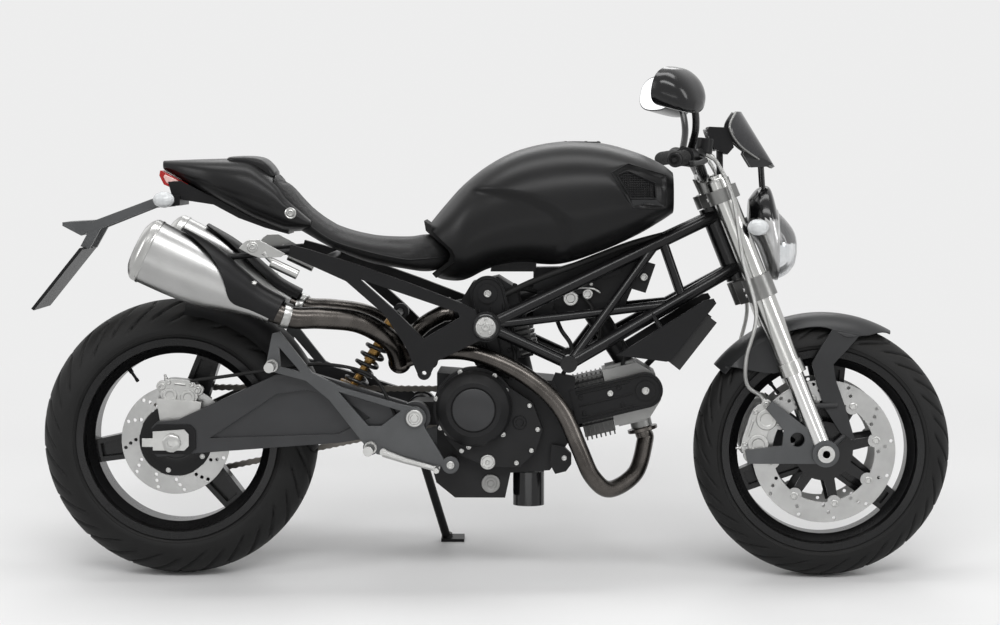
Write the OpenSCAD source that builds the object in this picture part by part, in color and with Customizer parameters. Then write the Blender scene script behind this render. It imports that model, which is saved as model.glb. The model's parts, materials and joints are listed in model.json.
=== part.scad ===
// Naked standard motorcycle with a V-twin engine, leaning on its side stand.
// Everything is drawn upright, X forward from the rear axle, Y to the rider's left, Z up
// from the road, and stood() then leans it over and puts the origin under its middle.

/* [Stance] */
// Distance between the two axles
wheelbase = 1450; // [1420:5:1480]
// Lean to the left on the side stand, degrees
lean = 10; // [8:0.5:12]
// Rake of the fork from the vertical, degrees
rake = 21.8; // [20.5:0.1:23]
// Distance of the steering axis behind the fork legs
fork_offset = 30; // [26:1:34]

/* [Wheels] */
// Outer radius of the rear tyre
rear_tyre_r = 312; // [306:1:316]
// Crown radius of the rear tyre's section, half its width
rear_crown = 80; // [76:1:82]
// Outer radius of the front tyre
front_tyre_r = 288; // [284:1:292]
// Crown radius of the front tyre's section, half its width
front_crown = 59; // [56:1:61]
// Radius of the bead seat of both rims
bead_r = 216; // [214:1:217]
// Thickness of the tyre wall
tyre_wall = 9; // [7:0.5:11]
// Radius of the front brake discs
front_disc_r = 160; // [155:1:162]
// Radius of the rear brake disc
rear_disc_r = 122; // [115:1:124]
// Thickness of the brake discs
disc_t = 5; // [4:0.5:6]
// Distance of each front disc from the middle of the wheel
front_disc_y = 66; // [64:0.5:68]
// Distance of the rear disc from the middle of the wheel
rear_disc_y = 88; // [86:0.5:90]
// Radius of both wheel axles
axle_r = 12.5; // [11:0.5:13]
// Number of spokes of each wheel
spoke_count = 3; // [3:1:5]

/* [Fork] */
// Distance of each fork leg from the middle
fork_y = 98; // [96:1:102]
// Outer diameter of the upper fork tubes
fork_outer_d = 52; // [50:1:54]
// Diameter of the fork stanchions
stanchion_d = 42; // [40:1:43]
// Distance along the leg from the axle to the foot of the upper tube
fork_outer_foot = 198; // [190:2:210]
// Length of the leg from the axle to its top
fork_len = 652; // [645:1:665]
// Distance along the leg from the axle to the lower clamp's middle
lower_clamp_at = 398; // [390:1:405]
// Distance along the leg from the axle to the upper clamp's middle
upper_clamp_at = 618; // [612:1:624]
// Thickness of the lower clamp
lower_clamp_t = 52; // [44:1:56]
// Thickness of the upper clamp
upper_clamp_t = 30; // [26:1:34]

/* [Frame] */
// Diameter of the main frame tubes
main_tube_d = 29; // [26:1:31]
// Diameter of the bracing tubes
brace_tube_d = 20; // [18:1:23]
// Outer radius of the steering head
head_tube_r = 29; // [27:1:31]
// Radius of the steering stem
stem_r = 16; // [14:0.5:18]
// Distance of the frame's lower corners from the middle
frame_y = 118; // [114:1:120]

/* [Rear] */
// Height of the swingarm pivot
pivot_z = 370; // [364:1:376]
// Position of the swingarm pivot ahead of the rear axle
pivot_x = 540; // [535:1:545]
// Distance from the middle to the inner faces of the swingarm
arm_in = 118; // [117:0.5:120]
// Thickness of each swingarm leg
arm_t = 26; // [22:1:28]
// Distance of the chain line to the left of the middle
chain_y = 104; // [103:0.5:105]
// Radius of the chain line at the rear sprocket
rear_chain_r = 101; // [98:1:104]
// Radius of the chain line at the gearbox sprocket
front_chain_r = 36; // [34:1:38]
// Pitch of the chain
chain_pitch = 15.875; // [12.7, 15.875]
// Distance from the middle to the outer face of the footrest brackets
hanger_out = 168; // [166:1:172]
// Thickness of the footrest brackets
hanger_t = 15; // [12:1:16]

/* [Engine] */
// Crankshaft position ahead of the rear axle
crank_x = 767; // [762:1:772]
// Crankshaft height
crank_z = 357; // [352:1:362]
// Angle of the front cylinder above the horizontal, degrees
front_cylinder = 13.5; // [11:0.5:16]
// Angle between the two cylinders, degrees
vee = 90; // [88:1:92]
// Half the width of the crankcase
case_y = 92; // [88:1:94]
// Radius of the clutch cover
clutch_r = 84; // [78:1:88]
// Distance from the crankshaft to the cam pulleys
cam_at = 292; // [286:1:298]
// Pitch of the cooling fins
fin_pitch = 12; // [11:0.5:14]
// Thickness of the cooling fins
fin_t = 3.5; // [2.5:0.5:4]

/* [Body] */
// Half the greatest width of the tank
tank_w = 168; // [155:1:176]
// Height of the top of the tank
tank_top = 980; // [970:1:990]
// Half the greatest width of the seat
seat_w = 130; // [120:1:140]
// Lowest and rearmost point of the plate holder, ahead of the rear axle
plate_tip_x = -322; // [-330:1:-312]

/* [Controls] */
// Half the length of the handlebar
bar_half = 388; // [375:1:395]
// Distance of the outer edge of the mirrors from the middle
mirror_out = 430; // [420:1:440]
// Height of the middle of the mirrors
mirror_z = 1090; // [1075:1:1105]
// Radius of the folding pegs
peg_r = 11; // [9:0.5:13]

/* [Side stand] */
// Distance of the stand's foot from the middle, measured on the leaning machine
foot_y = 238; // [225:1:250]
// Distance of the stand's foot ahead of its pivot
foot_ahead = 58; // [45:1:70]
// Radius of the stand's pivot bolt
stand_pin_r = 8; // [6:0.5:9]

/* [Hidden] */
$fn = 64;
running_gap = 0.1;
seat_gap = 0.3;
eps = 0.01;

// Lean: the tyres roll onto their shoulders, so the rear axle sets the rise and the front follows
lift = rear_crown * (1 - cos(lean));
rear_axle_z = rear_tyre_r;
front_axle_z = front_tyre_r - front_crown + (front_crown - lift) / cos(lean);
middle_x = (plate_tip_x + wheelbase + front_tyre_r) / 2;
// The mirrors are the widest pieces, so their height sets the middle of the leaning machine. Their
// outer ends hang a little below their middles.
mirror_sag = 4.85;
middle_y = (mirror_z - mirror_sag) * sin(lean);

// Fork geometry: the leg runs up and back from the front axle
leg_up = [-sin(rake), 0, cos(rake)];
leg_ahead = [cos(rake), 0, sin(rake)];
front_axle = [wheelbase, 0, front_axle_z];
function leg_point(t, ahead = 0, y = 0) = front_axle + t * leg_up + ahead * leg_ahead + [0, y, 0];

rear_axle = [0, 0, rear_axle_z];
rear_rim_half = 79;
front_rim_half = 58;
arm_out = arm_in + arm_t;
// Half the width of the fork's feet, clear of the discs and never the stanchion's radius
fork_foot = 24;

// Placing helpers

module stood() {
    translate([-middle_x, -middle_y, lift]) rotate([-lean, 0, 0]) children();
}

module both_sides() {
    children();
    mirror([0, 1, 0]) children();
}

// A straight round rod from p to q
module rod(p, q, d, d2 = -1) {
    v = q - p;
    translate(p) rotate([0, acos(v[2] / norm(v)), atan2(v[1], v[0])])
        cylinder(h = norm(v), d1 = d, d2 = d2 < 0 ? d : d2);
}

// An outline in the X-Z plane, filling from y to y + t
module plate(y, t) {
    translate([0, y + t, 0]) rotate([90, 0, 0]) linear_extrude(t) children();
}

// A profile of radius against Y, turned about the wheel's axis
module turned(at, angle = 360, start = 0) {
    translate(at) rotate([-90, 0, 0]) rotate([0, 0, -start]) rotate_extrude(angle = -angle) children();
}

module at_xz(p) {
    translate([p[0], p[1]]) children();
}

// A round bar along Y from y1 to y2
module cross_bar(p, y1, y2, r) {
    translate([p[0], y1, p[1]]) rotate([-90, 0, 0]) cylinder(r = r, h = y2 - y1);
}

// Lofts and sweeps

// Point of a superellipse at an angle
function oval_at(a, w, h, p = 2) =
    [w * sign(cos(a)) * pow(abs(cos(a)), 2 / p), h * sign(sin(a)) * pow(abs(sin(a)), 2 / p)];

// Superellipse with its own reach up and down, counter-clockwise
function oval(n, w, up, down, p = 2) =
    [for (i = [0 : n - 1]) oval_at(360 * i / n, w, i < n / 2 ? up : down, p)];

// Solid through rings of equal length, whose normals point from the first to the last. The rings
// of a shell run along its outside and back along its inside, so its ends are closed by strips.
module loft(rings, shell = false) {
    n = len(rings[0]);
    m = len(rings);
    points = concat([for (r = rings) each r], [middle(rings[0]), middle(rings[m - 1])]);
    sides = [
        for (j = [0 : m - 2], i = [0 : n - 1])
            let (a = j * n + i, b = j * n + (i + 1) % n)
            each [[a, a + n, b + n], [a, b + n, b]]
    ];
    last = (m - 1) * n;
    caps = [
        for (i = [0 : n - 1])
            let (j = (i + 1) % n)
            each [[i, j, m * n], [last + j, last + i, m * n + 1]]
    ];
    strips = [
        for (i = [0 : n / 2 - 2])
            let (j = i + 1, k = n - 2 - i, l = n - 1 - i)
            each [[i, j, k], [i, k, l], [last + k, last + j, last + i], [last + l, last + k, last + i]]
    ];
    polyhedron(points, concat(sides, shell ? strips : caps), convexity = 8);
}

function middle(ring) = [for (v = [0 : 2]) [for (p = ring) p[v]] * [for (p = ring) 1]] / len(ring);

function unit(v) = v / norm(v);

// Points on a smooth curve through the given ones, k steps to a span
function smooth(p, k = 4) = [
    for (i = [0 : len(p) - 2], j = [0 : k - 1])
        let (
            a = p[max(i - 1, 0)], b = p[i], c = p[i + 1], d = p[min(i + 2, len(p) - 1)], t = j / k
        )
        0.5 * (2 * b + t * (c - a) + t * t * (2 * a - 5 * b + 4 * c - d)
            + t * t * t * (3 * b - a - 3 * c + d)),
    p[len(p) - 1]
];

function tangent(p, i) = unit(p[min(i + 1, len(p) - 1)] - p[max(i - 1, 0)]);

// Round tube of radii r (a number, or one for each point) along a curve; side is never along it
module sweep(path, r, sides = 12, side = [0, 1, 0]) {
    loft([
        for (i = [0 : len(path) - 1])
            let (
                t = tangent(path, i), u = unit(cross(side, t)), v = cross(t, u),
                radius = is_list(r) ? r[i] : r
            )
            [for (k = [0 : sides - 1])
                path[i] + radius * (cos(360 * k / sides) * u + sin(360 * k / sides) * v)]
    ]);
}

// Wheels

module tyre_section(tyre_r, crown, half_bead) {
    wide = tyre_r - crown;
    difference() {
        intersection() {
            translate([wide, 0]) circle(r = crown);
            polygon([
                [bead_r, -half_bead], [wide + 12, -crown], [tyre_r + 1, -crown],
                [tyre_r + 1, crown], [wide + 12, crown], [bead_r, half_bead]
            ]);
        }
        intersection() {
            translate([wide, 0]) circle(r = crown - tyre_wall);
            polygon([
                [bead_r - 1, tyre_wall - half_bead], [wide + 12, tyre_wall - crown],
                    [tyre_r, tyre_wall - crown],
                [tyre_r, crown - tyre_wall], [wide + 12, crown - tyre_wall],
                    [bead_r - 1, half_bead - tyre_wall]
            ]);
        }
    }
}

// Rim section: flanges, bead seats and a drop centre
module rim_section(half) {
    seat = bead_r - seat_gap;
    outer = [
        [seat - 18, 0], [seat - 18, half * 0.42], [seat, half * 0.6], [seat, half - 6],
        [seat + 11, half - 5], [seat + 11, half]
    ];
    inner = [[seat - 5, half], [seat - 8, half * 0.66], [seat - 25, half * 0.46], [seat - 25, 0]];
    right = concat(outer, inner);
    left = [for (i = [len(right) - 2 : -1 : 1]) [right[i][0], -right[i][1]]];
    polygon(concat(right, left));
}

// One spoke in the wheel's plane, pointing along +X
module spoke_outline(hub_r, root_w, tip_w) {
    polygon([[hub_r * 0.6, -root_w / 2], [bead_r - 21, -tip_w / 2], [bead_r - 21, tip_w / 2],
        [hub_r * 0.6, root_w / 2]]);
}

module wheel(at, half, hub_r, hub_half, spoke_half, first_spoke) {
    root_w = 66;
    tip_w = 52;
    rib = 11;
    translate(at) rotate([90, 0, 0]) difference() {
        union() {
            rotate_extrude() rim_section(half);
            cylinder(r = hub_r, h = 2 * hub_half, center = true);
            for (k = [0 : spoke_count - 1]) rotate([0, 0, first_spoke + k * 360 / spoke_count]) {
                linear_extrude(9, center = true) spoke_outline(hub_r, root_w, tip_w);
                linear_extrude(2 * spoke_half, center = true) difference() {
                    spoke_outline(hub_r, root_w, tip_w);
                    polygon([
                        [hub_r + 12, rib - root_w / 2], [bead_r - 34, rib - tip_w / 2],
                        [bead_r - 34, tip_w / 2 - rib], [hub_r + 12, root_w / 2 - rib]
                    ]);
                }
            }
        }
        cylinder(r = axle_r + running_gap, h = 4 * hub_half, center = true);
    }
}

module rear_tyre() {
    color("#141414") turned(rear_axle) tyre_section(rear_tyre_r, rear_crown, 67);
}

module front_tyre() {
    color("#141414") turned(front_axle) tyre_section(front_tyre_r, front_crown, 47);
}

module rear_wheel() {
    color("#1a1a1b") wheel(rear_axle, rear_rim_half, 44, rear_disc_y - disc_t / 2 - seat_gap, 24, 70);
}

// Arms that carry a front disc, in the wheel's plane
module carrier_outline(hub_r) {
    difference() {
        union() {
            circle(r = 66);
            for (k = [0 : 7]) rotate(k * 45 + 12) polygon([[40, -13], [126, -9], [126, 9], [40, 13]]);
        }
        circle(r = hub_r - 4);
    }
}

module front_wheel() {
    hub_r = 38;
    carrier_t = 5;
    inner = front_disc_y - disc_t / 2 - seat_gap;
    color("#1a1a1b") {
        wheel(front_axle, front_rim_half, hub_r, inner, 20, 82);
        both_sides() translate(front_axle) plate(inner - carrier_t, carrier_t) carrier_outline(hub_r);
    }
}

// Drilled brake disc: rows of holes, each set leaning like a comma
module disc_outline(r, r_in, sets, per_set) {
    difference() {
        circle(r = r, $fn = 128);
        circle(r = r_in, $fn = 96);
        for (k = [0 : sets - 1], h = [0 : per_set - 1])
            rotate(k * 360 / sets + h * 4.5) translate([r_in + 8 + h * (r - r_in - 16) / (per_set - 1), 0])
                circle(d = 8, $fn = 24);
    }
}

module front_discs() {
    color("silver") both_sides() translate(front_axle)
        plate(front_disc_y - disc_t / 2, disc_t) disc_outline(front_disc_r, 114, 12, 3);
}

module rear_disc() {
    color("silver") translate(rear_axle) {
        plate(-rear_disc_y - disc_t / 2, disc_t) disc_outline(rear_disc_r, 82, 12, 3);
        plate(-rear_disc_y - disc_t / 2, disc_t) difference() {
            union() {
                circle(r = 42);
                for (k = [0 : 4]) rotate(k * 72 + 20) translate([62, 0]) square([48, 22], center = true);
            }
            circle(r = axle_r + 8);
        }
    }
}

sprocket_teeth = 39;
sprocket_t = 6;

// Toothed wheel whose tips run just inside the chain's rollers
module rear_sprocket() {
    tip = rear_chain_r - 6.5;
    inner = rear_disc_y - disc_t / 2 - seat_gap;
    color("dimgray") translate(rear_axle) {
        plate(chain_y - sprocket_t / 2, sprocket_t) difference() {
            polygon([
                for (k = [0 : sprocket_teeth - 1], s = [[-0.34, -7], [-0.14, 0], [0.14, 0], [0.34, -7]])
                    let (a = 360 * (k + s[0]) / sprocket_teeth)
                    (tip + s[1]) * [cos(a), sin(a)]
            ]);
            circle(r = 40);
            for (k = [0 : 5]) rotate(k * 60) translate([66, 0]) circle(r = 13);
        }
        difference() {
            translate([0, inner + seat_gap, 0]) rotate([-90, 0, 0])
                cylinder(r = 52, h = chain_y - sprocket_t / 2 - inner - seat_gap);
            translate([0, inner - 1, 0]) rotate([-90, 0, 0]) cylinder(r = axle_r + 8, h = 40);
        }
    }
}

// Rear end

module arm_outline() {
    union() {
        polygon([
            [-46, 290], [-46, 345], [-34, 358], [12, 362], [231, 463], [300, 470], [400, 440],
            [520, 402], [548, 372], [530, 338], [370, 312], [54, 288], [-34, 280]
        ]);
        translate([pivot_x, pivot_z]) circle(r = 34);
    }
}

module arm_pocket() {
    polygon([[84, 322], [232, 420], [300, 430], [392, 402], [440, 368], [370, 332]]);
}

brace_x = 338;

module swingarm() {
    pocket = 9;
    slot = 44;
    color("#3b3c3d") difference() {
        union() {
            both_sides() plate(arm_in, arm_t) arm_outline();
            plate(-arm_in - 1, 2 * arm_in + 2) translate([brace_x, 318]) square([88, 58]);
            cross_bar([pivot_x, pivot_z], -arm_in - 1, arm_in + 1, 15);
            both_sides() cross_bar([pivot_x, pivot_z], 66, arm_in + 1, 29);
            // ears that hold the foot of the shock
            both_sides() plate(15, 10) union() {
                translate([shock_low[0], shock_low[2]]) circle(r = 16);
                translate([shock_low[0] - 16, shock_low[2] - 30]) square([32, 30]);
            }
            cross_bar([shock_low[0], shock_low[2]], -20, 20, 8);
        }
        both_sides() {
            plate(arm_out - pocket, pocket + 1) arm_pocket();
            plate(arm_in - 1, arm_t + 2) translate([-slot / 2, rear_axle_z - axle_r - running_gap])
                square([slot, 2 * (axle_r + running_gap)]);
        }
    }
}

// Hollow axle with its collars, adjuster blocks, nuts and the pull screws
module rear_axle() {
    wall = 4;
    block = [62, 34];
    nut_r = 20;
    block_t = 8;
    collar_in = chain_y + sprocket_t / 2 + 1;
    block_out = arm_out + seat_gap + block_t;
    color("silver") difference() {
        union() {
            cross_bar([0, rear_axle_z], -block_out - 12, block_out + 12, axle_r);
            cross_bar([0, rear_axle_z], collar_in, arm_in - seat_gap, 20);
            cross_bar([0, rear_axle_z], seat_gap - arm_in, -rear_disc_y - disc_t / 2 - 1, 19);
            both_sides() {
                plate(arm_out + seat_gap, block_t) translate([-block[0] / 2 - 10,
                    rear_axle_z - block[1] / 2]) square(block);
                cross_bar([0, rear_axle_z], block_out - 1, block_out + 9, nut_r);
                rod([-41, arm_out + 5, rear_axle_z], [-66, arm_out + 5, rear_axle_z], 9);
            }
        }
        cross_bar([0, rear_axle_z], -300, 300, axle_r - wall);
    }
}

// Brake caliper in its own frame: the disc's plane is z = 0, r runs outward along +X
module caliper(r_in, r_out, half_len, half_gap, side_t, inboard_t, bridge) {
    difference() {
        union() {
            translate([r_in, -half_len, half_gap]) cube([r_out - r_in + bridge, 2 * half_len, side_t]);
            translate([r_in, -half_len, -half_gap - inboard_t]) cube([r_out - r_in + bridge,
                2 * half_len, inboard_t]);
            translate([r_out + 5, -half_len, -half_gap - 1]) cube([bridge - 5, 2 * half_len,
                2 * half_gap + 2]);
            for (s = [-1, 1]) translate([(r_in + r_out) / 2, s * half_len * 0.48, half_gap])
                cylinder(r = half_len * 0.4, h = side_t);
            for (s = [-1, 1]) translate([r_out - 4, s * (half_len - 2), half_gap]) cylinder(r = 13,
                h = side_t - 4);
        }
        for (s = [-1, 1]) translate([r_out - 4, s * (half_len - 2), -60]) cylinder(r = 4.2, h = 160);
    }
}

// Half the slot of a caliper, which clears the disc in it by 5 mm
caliper_gap = disc_t / 2 + 5.1;
rear_caliper_angle = 84;
front_caliper_angle = 162;

module rear_caliper() {
    color("lightgray") {
        translate(rear_axle + [0, -rear_disc_y, 0]) rotate([90, 0, 0]) rotate([0, 0, rear_caliper_angle])
            caliper(86, rear_disc_r, 42, caliper_gap, 16, 13, 16);
        // carrier between the caliper and the axle, inside the swingarm
        difference() {
            plate(-arm_in + seat_gap, 10) union() {
                translate([0, rear_axle_z]) circle(r = 30);
                polygon([[-26, 325], [-40, 408], [62, 400], [58, 372], [28, 318]]);
            }
            cross_bar([0, rear_axle_z], -200, 0, 19 + seat_gap);
        }
    }
}

// Chain: two strings of side plates and the rollers between them, along a loop of pitch points
gearbox_x = 606;
chain_span = norm([gearbox_x, pivot_z + 4 - rear_axle_z]);
chain_tilt = atan2(pivot_z + 4 - rear_axle_z, gearbox_x);
chain_wrap = asin((rear_chain_r - front_chain_r) / chain_span);
run_len = chain_span * cos(chain_wrap);
rear_arc = rear_chain_r * (180 + 2 * chain_wrap) * PI / 180;
front_arc = front_chain_r * (180 - 2 * chain_wrap) * PI / 180;
chain_links = 2 * round((2 * run_len + rear_arc + front_arc) / chain_pitch / 2);
chain_loop = 2 * run_len + rear_arc + front_arc;

// Point and heading at a distance along the loop, from the top of the rear sprocket forwards
function loop_local(d) =
    d < run_len ? [rear_chain_r * [sin(chain_wrap), cos(chain_wrap)] + d * [cos(chain_wrap),
        -sin(chain_wrap)], -chain_wrap]
    : d < run_len + front_arc ?
        let (a = 90 - chain_wrap - (d - run_len) / front_chain_r * 180 / PI)
        [[chain_span, 0] + front_chain_r * [cos(a), sin(a)], a - 90]
    : d < 2 * run_len + front_arc ?
        let (e = d - run_len - front_arc)
        [[chain_span, 0] + front_chain_r * [sin(chain_wrap), -cos(chain_wrap)] - e * [cos(chain_wrap),
            sin(chain_wrap)],
         180 + chain_wrap]
    : let (a = -90 + chain_wrap - (d - 2 * run_len - front_arc) / rear_chain_r * 180 / PI)
        [rear_chain_r * [cos(a), sin(a)], a - 90];

function swung(v, a) = [v[0] * cos(a) - v[1] * sin(a), v[0] * sin(a) + v[1] * cos(a)];

// Edge of a string of plates: waisted between the pins, h high at a pin
function chain_edge(side, h, waist) = [
    for (k = [0 : 2 * chain_links - 1])
        let (at = loop_local(k * chain_loop / chain_links / 2), r = (k % 2 == 0 ? h : waist) * side)
        at[0] + r * [-sin(at[1]), cos(at[1])]
];

module chain_band(h, waist) {
    translate([0, rear_axle_z]) rotate(chain_tilt) difference() {
        polygon(chain_edge(1, h, waist));
        polygon(chain_edge(-1, h, waist));
    }
}

module drive_chain() {
    plate_t = 4;
    inner_half = 4.5;
    color("#6b665c") {
        plate(chain_y + inner_half, plate_t) chain_band(7, 5);
        plate(chain_y - inner_half - plate_t, plate_t) chain_band(7, 5);
        plate(chain_y - inner_half - eps, 2 * inner_half + 2 * eps) translate([0,
            rear_axle_z]) rotate(chain_tilt)
            for (k = [0 : 2 : chain_links - 1])
                at_xz(loop_local(k * chain_loop / chain_links)[0]) circle(r = 4, $fn = 8);
    }
}

// Shock absorber lying forward from the swingarm to the frame, off to the right
shock_y = 0;
shock_low = [372, shock_y, 398];
shock_high = [500, shock_y, 596];

module rear_shock() {
    axis = unit(shock_high - shock_low);
    length = norm(shock_high - shock_low);
    turns = 6;
    color("#caa23a") {
        difference() {
            rod(shock_low, shock_high, 26);
            for (p = [shock_low, shock_high]) cross_bar([p[0], p[2]], shock_y - 20, shock_y + 20,
                8 + seat_gap);
        }
        rod(shock_low + 24 * axis, shock_low + 34 * axis, 62);
        rod(shock_high - 62 * axis, shock_high - 50 * axis, 62);
        for (p = [shock_low, shock_high]) difference() {
            cross_bar([p[0], p[2]], shock_y - 14, shock_y + 14, 18);
            cross_bar([p[0], p[2]], shock_y - 20, shock_y + 20, 8 + seat_gap);
        }
        for (k = [0 : turns - 1])
            rod(shock_low + (42 + k * (length - 110) / turns) * axis,
                shock_low + (51 + k * (length - 110) / turns) * axis, 56);
    }
}

module hugger() {
    section_r = rear_tyre_r - 62;
    color("#151515") {
        turned(rear_axle, 62, 24) intersection() {
            difference() {
                translate([section_r, 0]) circle(r = 88);
                translate([section_r, 0]) circle(r = 85);
            }
            translate([section_r + 30, -84]) square([80, 168]);
        }
        both_sides() cross_bar([262, 446], 77, arm_in - seat_gap, 7);
    }
}

// Frame

boss_a = [697, 571];
boss_b = [561, 469];
mount_l = [880, 487];
boss_a_r = 26;
head_low_at = lower_clamp_at + lower_clamp_t / 2 + 3;
head_high_at = upper_clamp_at - upper_clamp_t / 2 - 3;
head_low = leg_point(head_low_at, -fork_offset);
head_high = leg_point(head_high_at, -fork_offset);

neck = 20;
top_a = [boss_a[0], frame_y, boss_a[1]];
top_h = head_high - 22 * leg_up + [0, neck, 0];
brace_share = 0.71;

// Point on an upper tube at a share of its length; side is 1 on the left
function upper_at(f, side) = let (p = top_a + f * (top_h - top_a)) [p[0], side * p[1], p[2]];

module trellis_side() {
    low_l = [mount_l[0], frame_y, mount_l[1]];
    low_h = head_low + 26 * leg_up + [0, neck, 0];
    upper = 0.74;
    lower = 0.62;
    rod(top_a, top_h, main_tube_d);
    rod(low_l, low_h, main_tube_d);
    rod(low_l, top_a + upper * (top_h - top_a), brace_tube_d);
    rod(top_a, low_l + lower * (low_h - low_l), brace_tube_d);
    rod(low_l + 0.68 * (low_h - low_l), top_a + (upper + 0.03) * (top_h - top_a), brace_tube_d);
    rod(top_a, low_l, main_tube_d - 2);
    cross_bar(boss_a, frame_y - 13, frame_y + 22, boss_a_r);
    cross_bar(mount_l, frame_y - 18, frame_y + 18, 19);
}

module trellis_frame() {
    color("#191919") difference() {
        union() {
            both_sides() trellis_side();
            rod(head_low, head_high, 2 * head_tube_r);
            rod(upper_at(brace_share, 1), upper_at(brace_share, -1), brace_tube_d);
        }
        rod(head_low - leg_up, head_high + leg_up, 2 * (stem_r + seat_gap));
        both_sides() {
            cross_bar(boss_a, 0, 300, 8);
        }
    }
}

sub_y = frame_y + 23;
sub_t = 24;

module subframe_outline() {
    difference() {
        union() {
            at_xz(boss_a) circle(r = 33);
            at_xz(boss_b) circle(r = 15);
            polygon([
                [675, 608], [651, 621], [541, 663], [418, 707], [312, 740], [268, 752], [262, 728],
                    [300, 712],
                [389, 672], [475, 597], [521, 527], [546, 469], [576, 469], [590, 496], [684, 541]
            ]);
        }
        polygon([[418, 677], [636, 603], [640, 592], [560, 545], [498, 606]]);
        at_xz(boss_a) circle(r = 8);
        at_xz(boss_b) circle(r = 5);
    }
}

module subframe() {
    color("#2c2c2d") {
        both_sides() plate(sub_y, sub_t) subframe_outline();
        cross_bar([345, 720], -sub_y - 1, sub_y + 1, 9);
        both_sides() rod([276, sub_y + 10, 738], [128, 176, 725], 14);
        cross_bar([shock_high[0], shock_high[2]], -sub_y - 1, sub_y + 1, 8);
    }
}

// Engine

module case_outline() {
    polygon([
        [586, 464], [586, 300], [572, 262], [584, 218], [626, 184], [738, 184], [750, 240], [838, 246],
        [880, 310], [886, 352], [846, 446], [800, 450], [700, 454], [640, 460]
    ]);
}

sprocket_bay = [gearbox_x, pivot_z + 4];
clutch_at = [670, 388];

module crankcase() {
    lug_r = 26;
    cover_y = 30;
    stud = stand_pivot;
    color("#262627") difference() {
        union() {
            plate(-case_y, 2 * case_y) case_outline();
            // rear lug round the swingarm spindle
            plate(-62, 124) union() {
                translate([pivot_x, pivot_z]) circle(r = lug_r);
                translate([pivot_x, pivot_z - lug_r]) square([60, 2 * lug_r]);
            }
            // right cover under the clutch
            plate(-case_y - cover_y, cover_y + 1) union() {
                at_xz(clutch_at) circle(r = clutch_r + 7);
                polygon([[600, 330], [640, 282], [700, 256], [770, 256], [806, 290], [822, 340],
                    [800, 400], [740, 440]]);
            }
            // gearbox output shaft and its sprocket, inside the chain
            cross_bar(sprocket_bay, case_y - 1, chain_y + 14, 13);
            plate(chain_y - 3, 6) at_xz(sprocket_bay) circle(r = front_chain_r - 4.8);
            // lug and bolt of the side stand
            stand_frame() {
                translate([0, 0, -32]) cylinder(r = 17, h = 24);
                translate([0, 0, -9]) cylinder(r = stand_pin_r, h = 32);
                translate([0, 0, 16]) cylinder(r = 14, h = 7);
            }
            rod([stud[0] + 62, case_y - 16, stud[2] + 8], stud - 26 * stand_axis, 22);
            // lower mounting pads of the footrest brackets
            both_sides() cross_bar(hanger_low, case_y - 1, hanger_in - seat_gap, 15);
        }
        cross_bar([pivot_x, pivot_z], -70, 70, 15 + seat_gap);
    }
}

module clutch_cover() {
    inner_r = 50;
    face = -case_y - 30 - seat_gap;
    color("#303031") translate([clutch_at[0], face, clutch_at[1]]) rotate([90, 0, 0]) rotate_extrude()
        polygon([
            [0, 0], [clutch_r, 0], [clutch_r, 20], [clutch_r - 6, 30], [inner_r + 10, 46],
            [inner_r, 46], [inner_r, 44], [inner_r - 1, 43], [0, 43]
        ]);
}

module alternator_cover() {
    r = 80;
    color("#303031") translate([crank_x, case_y + seat_gap, crank_z]) rotate([-90, 0, 0]) rotate_extrude()
        polygon([[0, 0], [r, 0], [r, 26], [r - 10, 40], [r - 34, 44], [r - 36, 50], [0, 50]]);
}

// A cylinder's own frame: +X along its bore from the crankshaft
module on_cylinder(angle) {
    translate([crank_x, 0, crank_z]) rotate([0, -angle, 0]) children();
}

rear_cylinder = front_cylinder + vee;
barrel_from = 128;
barrel_to = 208;
head_to = 322;
barrel_half = 66;

// Barrel with its fins across the bore, or along it where the air comes head on
module barrel(fins_along) {
    length = barrel_to - barrel_from;
    fin_right = -belt_in + 4;
    fin_left = barrel_half + 8;
    rotate([0, 90, 0]) translate([0, 0, barrel_from - 34]) cylinder(r = 56, h = length + 34 - seat_gap);
    if (fins_along)
        for (k = [-4 : 4]) translate([barrel_from, fin_right, k * fin_pitch - fin_t / 2])
            cube([length - seat_gap, fin_left - fin_right, fin_t]);
    else
        for (u = [barrel_from + 4 : fin_pitch : barrel_to - 6]) translate([u, fin_right, -barrel_half])
            cube([fin_t, fin_left - fin_right, 2 * barrel_half]);
}

module cylinder_barrels() {
    color("#1d1d1e") {
        on_cylinder(front_cylinder) barrel(true);
        on_cylinder(rear_cylinder) barrel(false);
    }
}

// Cylinder head: a chamfered block with ribs, the inlet stub above and the exhaust stub below
module head(exhaust_side) {
    half = 64;
    length = head_to - barrel_to;
    rotate([90, 0, 0]) translate([0, 0, -half]) linear_extrude(2 * half)
        polygon([
            [barrel_to, -half], [head_to - 34, -half], [head_to, -half + 34], [head_to, half - 34],
            [head_to - 34, half], [barrel_to, half]
        ]);
    for (k = [-2 : 2]) translate([barrel_to + 8, k * 24 - 2, -half - 5]) cube([length - 48, 4,
        2 * half + 10]);
    translate([barrel_to + 58, 0, 0]) rotate([exhaust_side > 0 ? 0 : 180, 0, 0]) cylinder(r = 24,
        h = half + 22);
}

module cylinder_heads() {
    color("#9a9a98") {
        on_cylinder(front_cylinder) head(-1);
        on_cylinder(rear_cylinder) head(1);
    }
}

belt_in = 65;
belt_t = 26;

module belt_outline(from) {
    r = 39;
    translate([cam_at, 0]) circle(r = r);
    translate([from, -r]) square([cam_at - from, 2 * r]);
}

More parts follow.
